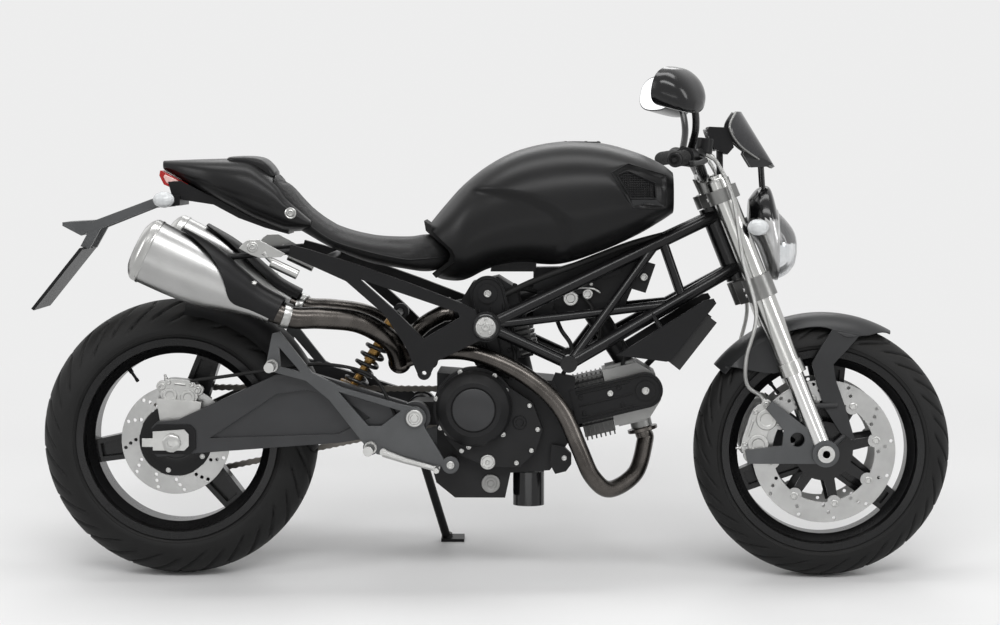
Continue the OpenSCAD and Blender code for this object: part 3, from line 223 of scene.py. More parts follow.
class Wire:
    """A shader value, on which plain arithmetic makes Math nodes."""

    def __init__(self, sheet: "Sheet", socket: bpy.types.NodeSocket) -> None:
        """Keeps the socket and the sheet it is on."""
        self.sheet = sheet
        self.socket = socket

    def _math(self, kind: str, *values: "Wire | float") -> "Wire":
        """Adds one Math node."""
        return self.sheet.wire("ShaderNodeMath", {"operation": kind}, *values)

    def __add__(self, other: "Wire | float") -> "Wire":
        """Sum."""
        return self._math("ADD", self, other)

    def __sub__(self, other: "Wire | float") -> "Wire":
        """Difference."""
        return self._math("SUBTRACT", self, other)

    def __mul__(self, other: "Wire | float") -> "Wire":
        """Product."""
        return self._math("MULTIPLY", self, other)

    def __radd__(self, other: float) -> "Wire":
        """Reflected sum."""
        return self._math("ADD", other, self)

    def __rsub__(self, other: float) -> "Wire":
        """Reflected difference."""
        return self._math("SUBTRACT", other, self)

    def __rmul__(self, other: float) -> "Wire":
        """Reflected product."""
        return self._math("MULTIPLY", other, self)

    def __pow__(self, other: float) -> "Wire":
        """Power."""
        return self._math("POWER", self, other)

    def __rpow__(self, other: float) -> "Wire":
        """Reflected power."""
        return self._math("POWER", other, self)

    def sine(self) -> "Wire":
        """Sine."""
        return self._math("SINE", self)

    def step(self, low: float, high: float) -> "Wire":
        """Rises smoothly from 0 at low to 1 at high."""
        settings = {"interpolation_type": "SMOOTHSTEP"}
        return self.sheet.wire("ShaderNodeMapRange", settings, self, low, high, 0.0, 1.0)


class Sheet:
    """The node tree of one material."""

    def __init__(self, name: str) -> None:
        """Starts a material with its Principled shader."""
        self.material = bpy.data.materials.new(name)
        self.material.use_nodes = True
        self.tree = self.material.node_tree
        self.shader = self.tree.nodes["Principled BSDF"]

    def node(self, kind: str, settings: dict[str, object], *values: object) -> bpy.types.Node:
        """Adds a node.

        Args:
            kind: Node type.
            settings: Properties, set before the inputs.
            values: Input values or wires in socket order, None to leave one alone.

        Returns:
            The node.
        """
        node = self.tree.nodes.new(kind)
        for key, value in settings.items():
            setattr(node, key, value)
        sockets = [s for s in node.inputs if s.enabled]
        for socket, value in zip(sockets, values):
            self.feed(socket, value)
        return node

    def wire(self, kind: str, settings: dict[str, object], *values: object, out: int | str = 0) -> Wire:
        """Adds a node and returns one of its outputs."""
        return Wire(self, self.node(kind, settings, *values).outputs[out])

    def feed(self, socket: bpy.types.NodeSocket, value: object) -> None:
        """Links a wire to a socket, or sets its value."""
        if isinstance(value, Wire):
            self.tree.links.new(value.socket, socket)
        elif value is not None:
            socket.default_value = value

    def set(self, name: str, value: object) -> None:
        """Sets one input of the Principled shader."""
        self.feed(self.shader.inputs[name], value)

    def place(self, stretch: tuple[float, float, float] = (1.0, 1.0, 1.0), about: Vector | None = None) -> Wire:
        """Gives coordinates of the upright machine in metres.

        Args:
            stretch: Scale along, across and up.
            about: Point taken as the middle, in upright millimetres.

        Returns:
            A vector wire.
        """
        source = self.wire("ShaderNodeTexCoord", {}, out="Object")
        back = STANCE.inverted().to_euler()
        shift = STANCE.inverted().to_translation() * 0.001
        if about is not None:
            shift = shift - about * 0.001
        upright = self.wire("ShaderNodeMapping", {}, source, tuple(shift), tuple(back), (1.0, 1.0, 1.0))
        return self.wire("ShaderNodeMapping", {}, upright, None, None, stretch)

    def noise(self, place: Wire, scale: float, detail: float = 3.0, rough: float = 0.55) -> Wire:
        """Returns a noise between 0 and 1."""
        return self.wire("ShaderNodeTexNoise", {}, place, scale, detail, rough)

    def cells(self, place: Wire, scale: float) -> Wire:
        """Returns the distance to the edges of a cell pattern."""
        return self.wire("ShaderNodeTexVoronoi", {"feature": "DISTANCE_TO_EDGE"}, place, scale)

    def parts(self, place: Wire) -> tuple[Wire, Wire, Wire]:
        """Splits a vector."""
        node = self.node("ShaderNodeSeparateXYZ", {}, place)
        return Wire(self, node.outputs[0]), Wire(self, node.outputs[1]), Wire(self, node.outputs[2])

    def blend(self, amount: Wire | float, first: object, second: object) -> Wire:
        """Mixes two colours."""
        return self.wire("ShaderNodeMix", {"data_type": "RGBA"}, amount, first, second, out=2)

    def radius(self, about: Vector) -> Wire:
        """Returns the distance from a wheel's axle in metres."""
        x, _, z = self.parts(self.place(about=about))
        return (x * x + z * z) ** 0.5

    def facing_up(self) -> Wire:
        """Returns how far a surface faces the sky."""
        return self.parts(self.wire("ShaderNodeNewGeometry", {}, out="Normal"))[2]

    def looked_at(self) -> Wire:
        """Returns 1 for what is seen straight, in metal or through glass, and else 0."""
        path = self.node("ShaderNodeLightPath", {})
        rays = [Wire(self, path.outputs[name]) for name in ("Is Camera Ray", "Is Glossy Ray", "Is Transmission Ray")]
        return (rays[0] + rays[1] + rays[2]).step(0.0, 1.0)

    def relief(self, height: Wire, depth: float, edge: float = 0.0) -> None:
        """Feeds a height to the shader's normal.

        Args:
            height: Height between 0 and 1.
            depth: Height of the relief in metres.
            edge: Radius by which edges are rounded, in metres.
        """
        under = None
        if edge > 0.0:
            under = self.wire("ShaderNodeBevel", {"samples": 4}, edge)
        node = self.node("ShaderNodeBump", {}, 1.0, depth)
        self.feed(node.inputs["Height"], height)
        self.feed(node.inputs["Normal"], under)
        self.set("Normal", Wire(self, node.outputs[0]))


class SkySheet(Sheet):
    """The node tree of the sky."""

    def __init__(self, name: str) -> None:
        """Starts a world and gives it to the scene."""
        world = bpy.data.worlds.new(name)
        world.use_nodes = True
        bpy.context.scene.world = world
        self.tree = world.node_tree
        self.shader = self.tree.nodes["Background"]
        self.set("Color", (1.0, 1.0, 1.0, 1.0))


class Grain(Enum):
    """Kinds of fine surface relief."""

    FINE = "fine"
    PAINT = "paint"
    HIDE = "hide"
    BRAID = "braid"


@dataclass(frozen=True)
class Finish:
    """One surface: its colour, its sheen and its grain."""

    name: str
    slot: str
    colour: tuple[float, float, float]
    metallic: float = 0.0
    roughness: float = 0.34
    coat: float = 0.0
    grain: Grain = Grain.FINE
    grain_scale: float = 900.0
    depth: float = 0.00006
    mottle: float = 0.10
    polish: float = 0.06
    dust: float = 0.04
    edge: float = 0.0
    stretch: tuple[float, float, float] = (1.0, 1.0, 1.0)
    specular: float = 0.5

    def material(self) -> bpy.types.Material:
        """Returns the finish's material, made once."""
        found = bpy.data.materials.get(self.name)
        return found if found else self.made()

    def made(self) -> bpy.types.Material:
        """Builds the material."""
        sheet = Sheet(self.name)
        broad = sheet.noise(sheet.place(), 14.0, 4.0)
        fine = sheet.noise(sheet.place(self.stretch), self.grain_scale, 4.0, 0.6)
        self.shade(sheet, broad, fine)
        sheet.set("Metallic", self.metallic)
        sheet.set("Specular IOR Level", self.specular)
        sheet.set("Coat Weight", self.coat)
        sheet.set("Coat Roughness", 0.08)
        sheet.relief(self.height(sheet, fine), self.depth, self.edge)
        return sheet.material

    def shade(self, sheet: Sheet, broad: Wire, fine: Wire) -> None:
        """Feeds colour and roughness.

        Args:
            sheet: The material's nodes.
            broad: Slow variation.
            fine: Grain.
        """
        dark = (*(c * (1 - self.mottle) for c in self.colour), 1.0)
        light = (*(min(c * (1 + self.mottle), 1.0) for c in self.colour), 1.0)
        colour = sheet.blend(broad.step(0.3, 0.7), dark, light)
        settled = sheet.facing_up().step(0.35, 1.0) * fine.step(0.35, 0.75) * self.dust
        colour = sheet.blend(settled, colour, (0.32, 0.30, 0.27, 1.0))
        sheet.set("Base Color", colour)
        rough = self.roughness + (fine - 0.5) * self.polish + (broad - 0.5) * (1.4 * self.polish)
        sheet.set("Roughness", rough + settled * 0.5)

    def height(self, sheet: Sheet, fine: Wire) -> Wire:
        """Returns the relief's height."""
        if self.grain is Grain.HIDE:
            return sheet.cells(sheet.place(), self.grain_scale).step(0.0, 0.28) * 0.8 + fine * 0.2
        if self.grain is Grain.BRAID:
            x, y, z = sheet.parts(sheet.place())
            wave = ((x + y + z) * self.grain_scale).sine() * ((z - x - y) * self.grain_scale).sine()
            return wave * 0.5 + 0.5
        if self.grain is Grain.PAINT:
            return sheet.noise(sheet.place(), self.grain_scale, 1.0, 0.4)
        return fine


@dataclass(frozen=True)
class TurnedFinish(Finish):
    """Metal turned or ground about a wheel's axle."""

    about: tuple[float, float, float] = (0.0, 0.0, 0.0)
    pitch: float = 2600.0
    metallic: float = 1.0
    roughness: float = 0.3
    depth: float = 0.00002
    edge: float = 0.0006

    def height(self, sheet: Sheet, fine: Wire) -> Wire:
        """Returns rings about the axle, broken by the grain."""
        return (sheet.radius(Vector(self.about)) * self.pitch + fine * 3.0).sine() * 0.5 + 0.5


@dataclass(frozen=True)
class GlassFinish(Finish):
    """Clear or tinted lens with moulded flutes."""

    clear: float = 0.9
    flutes: float = 900.0
    depth: float = 0.0004
    polish: float = 0.03
    dust: float = 0.0

    def made(self) -> bpy.types.Material:
        """Builds the material."""
        sheet = Sheet(self.name)
        fine = sheet.noise(sheet.place(), 60.0, 3.0)
        self.shade(sheet, fine, fine)
        sheet.set("Transmission Weight", self.clear)
        sheet.set("IOR", 1.45)
        _, y, _ = sheet.parts(sheet.place())
        sheet.relief((y * self.flutes).sine() * 0.5 + 0.5, self.depth)
        return sheet.material


@dataclass(frozen=True)
class Finishes:
    """Every finish of the machine."""

    tank: Finish = Finish(
        "satin_black_paint", "matte_black", (0.006, 0.006, 0.0063), grain=Grain.PAINT, grain_scale=1500.0,
        depth=0.00003, mottle=0.06, polish=0.05, dust=0.012, specular=0.22
    )
    plastic: Finish = Finish(
        "moulded_black_plastic", "black_plastic", (0.0065, 0.0065, 0.007), roughness=0.4, grain_scale=1400.0,
        dust=0.02, edge=0.0008, specular=0.18
    )
    grey_plastic: Finish = Finish(
        "dark_grey_plastic", "dark_plastic", (0.024, 0.0245, 0.0255), roughness=0.36, grain_scale=1300.0, dust=0.02,
        edge=0.0008, specular=0.25
    )
    gloss: Finish = Finish(
        "gloss_black_lacquer", "gloss_black", (0.004, 0.004, 0.0045), roughness=0.2, coat=0.2, grain=Grain.PAINT,
        grain_scale=700.0, depth=0.000004, mottle=0.05, polish=0.05, dust=0.012, edge=0.001, specular=0.3
    )
    wheel: Finish = Finish(
        "black_wheel_lacquer", "wheel_black", (0.005, 0.005, 0.0053), roughness=0.28, coat=0.08, grain=Grain.PAINT,
        grain_scale=600.0, depth=0.00003, dust=0.02, edge=0.0012, specular=0.2
    )
    frame: Finish = Finish(
        "black_frame_enamel", "frame_black", (0.005, 0.005, 0.0055), roughness=0.25, coat=0.1, grain=Grain.PAINT,
        grain_scale=520.0, depth=0.00004, dust=0.015, edge=0.001, specular=0.25
    )
    rubber: Finish = Finish(
        "tyre_rubber", "tyre", (0.009, 0.009, 0.009), roughness=0.56, grain_scale=800.0, depth=0.0002, mottle=0.15,
        polish=0.12, dust=0.07, specular=0.2
    )
    grip: Finish = Finish(
        "grip_rubber_black", "grip_rubber", (0.008, 0.008, 0.008), roughness=0.6, grain_scale=1200.0, depth=0.00015,
        dust=0.03, specular=0.2
    )
    hide: Finish = Finish(
        "seat_hide", "seat_leather", (0.006, 0.006, 0.0063), roughness=0.46, grain=Grain.HIDE, grain_scale=520.0,
        depth=0.0003, polish=0.1, dust=0.02, specular=0.2
    )
    case: Finish = Finish(
        "black_engine_casting", "engine_black", (0.011, 0.011, 0.0115), metallic=0.2, roughness=0.44,
        grain_scale=1100.0, depth=0.00014, dust=0.03, edge=0.0014, specular=0.2
    )
    block: Finish = Finish(
        "dark_crankcase_casting", "casting_grey", (0.015, 0.015, 0.0155), metallic=0.25, roughness=0.46,
        grain_scale=1000.0, depth=0.00016, edge=0.0016, specular=0.2
    )
    head: Finish = Finish(
        "silver_head_casting", "head_silver", (0.24, 0.24, 0.235), metallic=0.7, roughness=0.42, depth=0.00016,
        dust=0.03, edge=0.0014
    )
    barrel: Finish = Finish(
        "grey_fin_casting", "casting_grey", (0.09, 0.09, 0.088), metallic=0.6, roughness=0.42, depth=0.00012,
        dust=0.03, edge=0.0008
    )
    arm: Finish = Finish(
        "swingarm_grey_paint", "swingarm_grey", (0.030, 0.0305, 0.032), metallic=0.5, roughness=0.38,
        grain_scale=1200.0, dust=0.03, edge=0.0018
    )
    hanger: Finish = Finish(
        "satin_grey_hanger", "casting_grey", (0.075, 0.077, 0.079), metallic=0.7, roughness=0.38, grain_scale=1200.0,
        dust=0.03, edge=0.002
    )
    zinc: Finish = Finish(
        "zinc_plate", "zinc_steel", (0.42, 0.42, 0.41), metallic=1.0, roughness=0.3, grain_scale=1500.0,
        depth=0.00003, mottle=0.08, edge=0.0008
    )
    caliper: Finish = Finish(
        "silver_caliper", "caliper_grey", (0.40, 0.40, 0.39), metallic=0.9, grain_scale=1300.0, edge=0.0012
    )
    fork: Finish = Finish(
        "polished_fork_alloy", "fork_silver", (0.50, 0.50, 0.485), metallic=1.0, roughness=0.2, depth=0.00001,
        mottle=0.04, polish=0.05, dust=0.01, edge=0.001
    )
    chrome: Finish = Finish(
        "chrome_plate", "stanchion_chrome", (0.66, 0.66, 0.65), metallic=1.0, roughness=0.1, grain_scale=700.0,
        depth=0.00001, mottle=0.03, polish=0.04, dust=0.01
    )
    clamp: Finish = Finish(
        "clamp_alloy", "clamp_grey", (0.20, 0.20, 0.195), metallic=0.85, grain_scale=1100.0, edge=0.0016
    )
    can: Finish = Finish(
        "brushed_muffler_steel", "muffler_steel", (0.40, 0.40, 0.395), metallic=1.0, roughness=0.33, depth=0.00002,
        mottle=0.05, polish=0.08, dust=0.02, stretch=(0.05, 1.0, 1.0)
    )
    pipe: Finish = Finish(
        "heated_pipe_steel", "exhaust_steel", (0.085, 0.078, 0.072), metallic=1.0, roughness=0.27, grain_scale=500.0,
        depth=0.00003, mottle=0.3, polish=0.12, dust=0.02
    )
    gold: Finish = Finish(
        "gold_shock_spring", "shock_gold", (0.30, 0.17, 0.045), metallic=0.7, roughness=0.36, depth=0.00012,
        edge=0.0008
    )
    spring: Finish = Finish(
        "black_spring_enamel", "frame_black", (0.018, 0.018, 0.019), roughness=0.3, coat=0.3, grain=Grain.PAINT,
        grain_scale=500.0, depth=0.00004, dust=0.02
    )
    chain: Finish = Finish(
        "oiled_chain_steel", "chain_steel", (0.16, 0.15, 0.135), metallic=0.9, roughness=0.4, depth=0.0001,
        mottle=0.25
    )
    cooler: Finish = Finish(
        "cooler_alloy", "cooler_aluminium", (0.012, 0.012, 0.012), metallic=0.4, roughness=0.42, depth=0.00012,
        edge=0.0006
    )
    braid: Finish = Finish(
        "braided_hose_steel", "zinc_steel", (0.42, 0.42, 0.41), metallic=1.0, grain=Grain.BRAID, grain_scale=2400.0,
        depth=0.0004
    )
    lamp_shell: Finish = Finish(
        "lamp_shell_silver", "headlight_silver", (0.45, 0.45, 0.45), metallic=0.85, roughness=0.3, grain=Grain.PAINT,
        depth=0.00002, dust=0.01
    )
    reflector: Finish = Finish(
        "lamp_reflector", "clear_lens", (0.82, 0.83, 0.84), metallic=1.0, roughness=0.12, depth=0.00002
    )
    mirror: Finish = Finish(
        "silvered_mirror", "mirror_glass", (0.86, 0.87, 0.88), metallic=1.0, roughness=0.03, depth=0.000004,
        mottle=0.02, polish=0.02, dust=0.0
    )
    clear: Finish = GlassFinish("clear_lamp_lens", "clear_lens", (0.93, 0.95, 0.96), roughness=0.06)
    pale: Finish = GlassFinish(
        "pale_lamp_lens", "clear_lens", (0.80, 0.82, 0.83), roughness=0.1, depth=0.0006, clear=0.3
    )
    red: Finish = GlassFinish(
        "red_lamp_lens", "red_lens", (0.55, 0.012, 0.010), roughness=0.14, polish=0.04, clear=0.45
    )
    lit: Finish = GlassFinish("lit_lamp_core", "red_lens", (0.95, 0.62, 0.58), roughness=0.2, polish=0.04, clear=0.2)
    smoke: Finish = GlassFinish(
        "smoked_screen", "screen_dark", (0.03, 0.03, 0.033), roughness=0.08, depth=0.00001, clear=0.25, flutes=300.0
    )
    disc_rear: Finish = TurnedFinish("ground_rear_disc", "disc_steel", (0.34, 0.34, 0.335), about=tuple(REAR_AXLE))
    disc_front: Finish = TurnedFinish("ground_front_disc", "disc_steel", (0.34, 0.34, 0.335), about=tuple(FRONT_AXLE))


PAINTS = Finishes()


class Shape:
    """Points and faces of one piece in upright millimetres, each face marked with a finish."""

    def __init__(self) -> None:
        """Starts empty."""
        self.points: list[Vector] = []
        self.faces: list[tuple[int, ...]] = []
        self.marks: list[int] = []
        self.mark = 0

    def add(self, points: Iterable[Point], faces: Iterable[Sequence[int]]) -> "Shape":
        """Adds points and the faces that number them from 0."""
        base = len(self.points)
        self.points.extend(Vector(p) for p in points)
        for face in faces:
            self.faces.append(tuple(base + i for i in face))
            self.marks.append(self.mark)
        return self

    def paint(self, mark: int) -> "Shape":
        """Sets the finish of what is added next."""
        self.mark = mark
        return self

    def loft(self, rings: Rings, closed: bool = True, caps: bool = True, loop: bool = False) -> "Shape":
        """Joins rings of equal length.

        Args:
            rings: Points ring by ring.
            closed: Whether each ring closes on itself.
            caps: Whether the ends are filled.
            loop: Whether the last ring joins the first.

        Returns:
            The shape itself.
        """
        n, m = len(rings[0]), len(rings)
        across = n if closed else n - 1
        faces: list[tuple[int, ...]] = []
        for j in range(m if loop else m - 1):
            k = (j + 1) % m
            for i in range(across):
                e = (i + 1) % n
                faces.append((j * n + i, j * n + e, k * n + e, k * n + i))
        if caps and not loop:
            faces += [tuple(range(n))[::-1], tuple((m - 1) * n + i for i in range(n))]
        return self.add([p for ring in rings for p in ring], faces)

    def tube(self, path: Sequence[Point], radius: float | Sequence[float], sides: int = 20) -> "Shape":
        """Sweeps a round section.

        Args:
            path: Points along the middle.
            radius: One radius, or one for each point.
            sides: Sides of the section.

        Returns:
            The shape itself.
        """
        line = [Vector(p) for p in path]
        radii = [radius] * len(line) if isinstance(radius, (int, float)) else list(radius)
        rings: Rings = []
        side = Vector((0.31, 0.52, 0.79))
        for i, p in enumerate(line):
            t = (line[min(i + 1, len(line) - 1)] - line[max(i - 1, 0)]).normalized()
            side = (side - t * side.dot(t)).normalized()
            up = t.cross(side)
            turn = [2 * math.pi * k / sides for k in range(sides)]
            rings.append([p + radii[i] * (math.cos(a) * side + math.sin(a) * up) for a in turn])
        return self.loft(rings)

    def turned(self, profile: Sequence[tuple[float, float]], at: Point, axis: Point, sides: int = 40) -> "Shape":
        """Turns a profile about an axis.

        Args:
            profile: Pairs of distance along the axis and radius.
            at: Point where the distance is 0.
            axis: Direction of the axis.
            sides: Sides of the turned piece.

        Returns:
            The shape itself.
        """
        t = Vector(axis).normalized()
        side = t.orthogonal().normalized()
        up = t.cross(side)
        rings = []
        for along, r in profile:
            c = Vector(at) + along * t
            turn = [2 * math.pi * k / sides for k in range(sides)]
            rings.append([c + r * (math.cos(a) * side + math.sin(a) * up) for a in turn])
        return self.loft(rings)

    def plate(self, outline: Sequence[Point], y1: float, y2: float) -> "Shape":
        """Fills an outline of places along and up from y1 to y2."""
        rings = [[Vector((x, y, z)) for x, z in outline] for y in (y1, y2)]
        return self.loft(rings)

    def bolt(self, at: Point, axis: Point, r: float, tall: float) -> "Shape":
        """Adds a socket-head bolt standing on a surface.

        Args:
            at: Foot of the head.
            axis: Way it points out.
            r: Radius of the head.
            tall: Height of the head.

        Returns:
            The shape itself.
        """
        edge = 0.16 * r
        rim = [(-2.0, r), (tall - edge, r), (tall, r - edge), (tall, 0.6 * r)]
        return self.turned([*rim, (tall - 0.55 * tall, 0.52 * r), (tall - 0.55 * tall, TIP)], at, axis, 18)

    def mirrored(self) -> "Shape":
        """Adds the same on the other side."""
        base = len(self.points)
        self.points.extend([Vector((p.x, -p.y, p.z)) for p in self.points])
        self.marks.extend(list(self.marks))
        self.faces.extend([tuple(base + i for i in reversed(f)) for f in self.faces])
        return self

    def mesh(self, name: str) -> bpy.types.Mesh:
        """Makes the Blender mesh in the shared frame."""
        mesh = bpy.data.meshes.new(name)
        mesh.from_pydata([STANCE @ p for p in self.points], [], self.faces)
        mesh.polygons.foreach_set("material_index", self.marks)
        work = bmesh.new()
        work.from_mesh(mesh)
        bmesh.ops.remove_doubles(work, verts=work.verts, dist=2e-6)
        bmesh.ops.recalc_face_normals(work, faces=work.faces)
        work.to_mesh(mesh)
        work.free()
        return mesh

    def piece(
        self,
        name: str,
        body: Body,
        finishes: Sequence[Finish],
        replaces: Sequence[str] = (),
        sharp: float = 38.0,
        bevel: float = 0.0,
    ) -> bpy.types.Object:
        """Makes the piece and lets it ride on a body.

        Args:
            name: Name of the piece.
            body: Body that carries it.
            finishes: Finishes by mark.
            replaces: Solids that it stands for.
            sharp: Angle in degrees above which an edge stays sharp.
            bevel: Width in millimetres by which sharp edges are rounded.

        Returns:
            The Blender object.
        """
        mesh = self.mesh(name)
        for finish in finishes:
            mesh.materials.append(finish.material())
        obj = bpy.data.objects.new(name, mesh)
        bpy.context.scene.collection.objects.link(obj)
        soften(obj, sharp, bevel)
        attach(obj, body.value)
        if replaces:
            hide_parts(*replaces)
        LOG.info("%s: %d faces on %s", name, len(mesh.polygons), body.value)
        return obj


def soften(obj: bpy.types.Object, sharp: float, bevel: float = 0.0) -> None:
    """Shades a piece smoothly.

    Args:
        obj: The piece.
        sharp: Angle in degrees above which an edge stays sharp.
        bevel: Width in millimetres by which sharp edges are rounded.
    """
    obj.data.shade_smooth()
    obj.data.set_sharp_from_angle(angle=math.radians(sharp))
    if bevel > 0.0:
        soften_edges(obj, bevel)


def soften_edges(obj: bpy.types.Object, width: float, segments: int = 2) -> None:
    """Rounds a piece's sharp edges by a width in millimetres."""
    round_off = obj.modifiers.new("rounded_edges", "BEVEL")
    round_off.width = 0.001 * width
    round_off.segments = segments
    round_off.limit_method = "ANGLE"
    round_off.angle_limit = math.radians(40.0)


def applied(obj: bpy.types.Object) -> None:
    """Turns a piece's modifiers into plain mesh."""
    shown = obj.evaluated_get(bpy.context.evaluated_depsgraph_get())
    mesh = bpy.data.meshes.new_from_object(shown)
    obj.modifiers.clear()
    obj.data = mesh


def hollowed(obj: bpy.types.Object, cutter: Shape) -> None:
    """Cuts one shape out of a piece.

    Args:
        obj: The piece.
        cutter: What is taken away.
    """
    tool = bpy.data.objects.new("cutter", cutter.mesh("cutter"))
    bpy.context.scene.collection.objects.link(tool)
    cut = obj.modifiers.new("cut", "BOOLEAN")
    cut.operation = "DIFFERENCE"
    cut.solver = "EXACT"
    cut.object = tool
    bpy.context.view_layer.update()
    applied(obj)
    bpy.data.objects.remove(tool)


@dataclass
class Repainted:
    """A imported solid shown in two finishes, with its form as it is."""

    node: str
    name: str
    body: Body
    finishes: tuple[Finish, Finish]

    def second(self, p: Vector) -> bool:
        """Tells whether a face at an upright place takes the second finish."""
        raise NotImplementedError

    def build(self, nodes: dict[str, bpy.types.Object]) -> None:
        """Copies the solid and paints its faces.

        Args:
            nodes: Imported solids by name.
        """
        mesh = nodes[self.node].data.copy()
        mesh.materials.clear()
        for finish in self.finishes:
            mesh.materials.append(finish.material())
        back = STANCE.inverted()
        for face in mesh.polygons:
            face.material_index = int(self.second(back @ face.center))
        obj = bpy.data.objects.new(self.name, mesh)
        bpy.context.scene.collection.objects.link(obj)
        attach(obj, self.body.value)
        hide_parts(self.node)
        LOG.info("%s: %d faces on %s", self.name, len(mesh.polygons), self.body.value)


@dataclass
class CylinderHeads(Repainted):
    """Silver front head and black rear head."""

    split_x: float = 850.0

    def second(self, p: Vector) -> bool:
        """Tells whether a place is on the rear head."""
        return p.x < self.split_x


@dataclass
class PlateHanger(Repainted):
    """Grey arms with a thin black blade under them."""

    below: float = 742.0
    behind: float = -200.0

    def second(self, p: Vector) -> bool:
        """Tells whether a place is on the blade."""
        return p.z < self.below and p.x < self.behind


@dataclass
class ForkLegs(Repainted):
    """Chromed stanchions on dark feet."""

    radius: float = 21.6
    foot: float = 58.0

    def second(self, p: Vector) -> bool:
        """Tells whether a place is on a foot or a lug."""
        off = p - FRONT_AXLE
        along = off.dot(LEG_UP)
        beside = math.hypot(off.dot(LEG_AHEAD), abs(p.y) - LEG_Y)
        return along < self.foot or beside > self.radius


@dataclass
class Tyre:
    """A sport tyre with curved grooves cut in its tread."""

    name: str
    node: str
    body: Body
    centre: Vector
    outer: float
    crown: float
    half_bead: float
    bead: float = 216.0
    around: int = 720
    across: int = 60
    pitches: int = 17
    groove: float = 4.6
    cut: float = 4.6

    def section(self) -> list[tuple[float, float, float]]:
        """Returns the profile as radius, place across and angle round the crown."""
        wide = self.outer - self.crown
        reach = math.radians(82.0)
        out = []
        for i in range(self.across + 1):
            a = reach * (2 * i / self.across - 1)
            out.append((wide + self.crown * math.cos(a), self.crown * math.sin(a), a))
        edge_r, edge_y = out[-1][0], out[-1][1]
        wall = []
        for f in (0.3, 0.62, 0.86, 1.0):
            bulge = 1.6 * math.sin(math.pi * f)
            wall.append((edge_r + (self.bead - edge_r) * f, edge_y + (self.half_bead - edge_y) * f + bulge, 2.0))
        wall.append((self.bead - 3.0, self.half_bead - 9.0, 2.0))
        left = [(r, -y, -a) for r, y, a in reversed(wall)]
        return [*left, *out, *wall]

    def sink(self, turn: float, angle: float) -> float:
        """Finds how deep the tread is cut.

        Args:
            turn: Angle round the wheel.
            angle: Angle round the crown.

        Returns:
            Depth in millimetres.
        """
        a = abs(angle)
        pitch = 2 * math.pi / self.pitches
        phase = turn + (0.5 * pitch if angle > 0 else 0.0)
        deepest = 0.0
        for start, lead, bend, low, high, width in (
            (0.0, 0.16, 0.12, 0.12, 1.04, 1.0),
            (0.50, 0.10, 0.16, 0.50, 1.16, 0.85),
            (0.74, -0.08, 0.22, 0.03, 0.42, 0.85),
        ):
            line = start * pitch + lead * a + bend * a * a
            off = (phase - line + pitch / 2) % pitch - pitch / 2
            away = abs(off) * self.outer / math.hypot(1.0, (lead + 2 * bend * a) * 3.0)
            taper = eased(a, low - 0.05, low + 0.05) * (1 - eased(a, high - 0.1, high + 0.1))
            wall = eased(away, 0.45 * width * self.groove, width * self.groove)
            deepest = max(deepest, self.cut * taper * (1 - wall))
        return deepest

    def build(self) -> None:
        """Makes the tyre."""
        section = self.section()
        rings: Rings = []
        for k in range(self.around):
            turn = 2 * math.pi * k / self.around
            ring = []
            for r, y, a in section:
                depth = self.sink(turn, a) if abs(a) < 1.3 else 0.0
                r_cut = r - depth * math.cos(a)
                y_cut = y - depth * math.sin(a) if abs(a) < 1.3 else y
                ring.append(self.centre + Vector((r_cut * math.cos(turn), y_cut, r_cut * math.sin(turn))))
            rings.append(ring)
        shape = Shape().loft(rings, closed=False, caps=False, loop=True)
        for r, tall in ((self.outer - self.crown + 5.0, 0.8), (self.bead + 20.0, 1.0)):
            for side in Side:
                self.ridge(shape, r, tall, side)
        shape.piece(self.name, self.body, [PAINTS.rubber], [self.node], sharp=60.0)

    def ridge(self, shape: Shape, r: float, tall: float, side: Side) -> None:
        """Adds a fine raised line round the wall."""
        near = min(self.section(), key=lambda s: abs(s[0] - r) + (0 if s[1] * side.value > 0 else 1e3))
        y = near[1]
        ring = [(near[0] - 1.2, y), (near[0], y + side.value * tall), (near[0] + 1.2, y)]
        rings = []
        for k in range(120):
            rings.append([self.centre + spoke(3.0 * k, q, w) for q, w in ring])
        shape.loft(rings, loop=True)


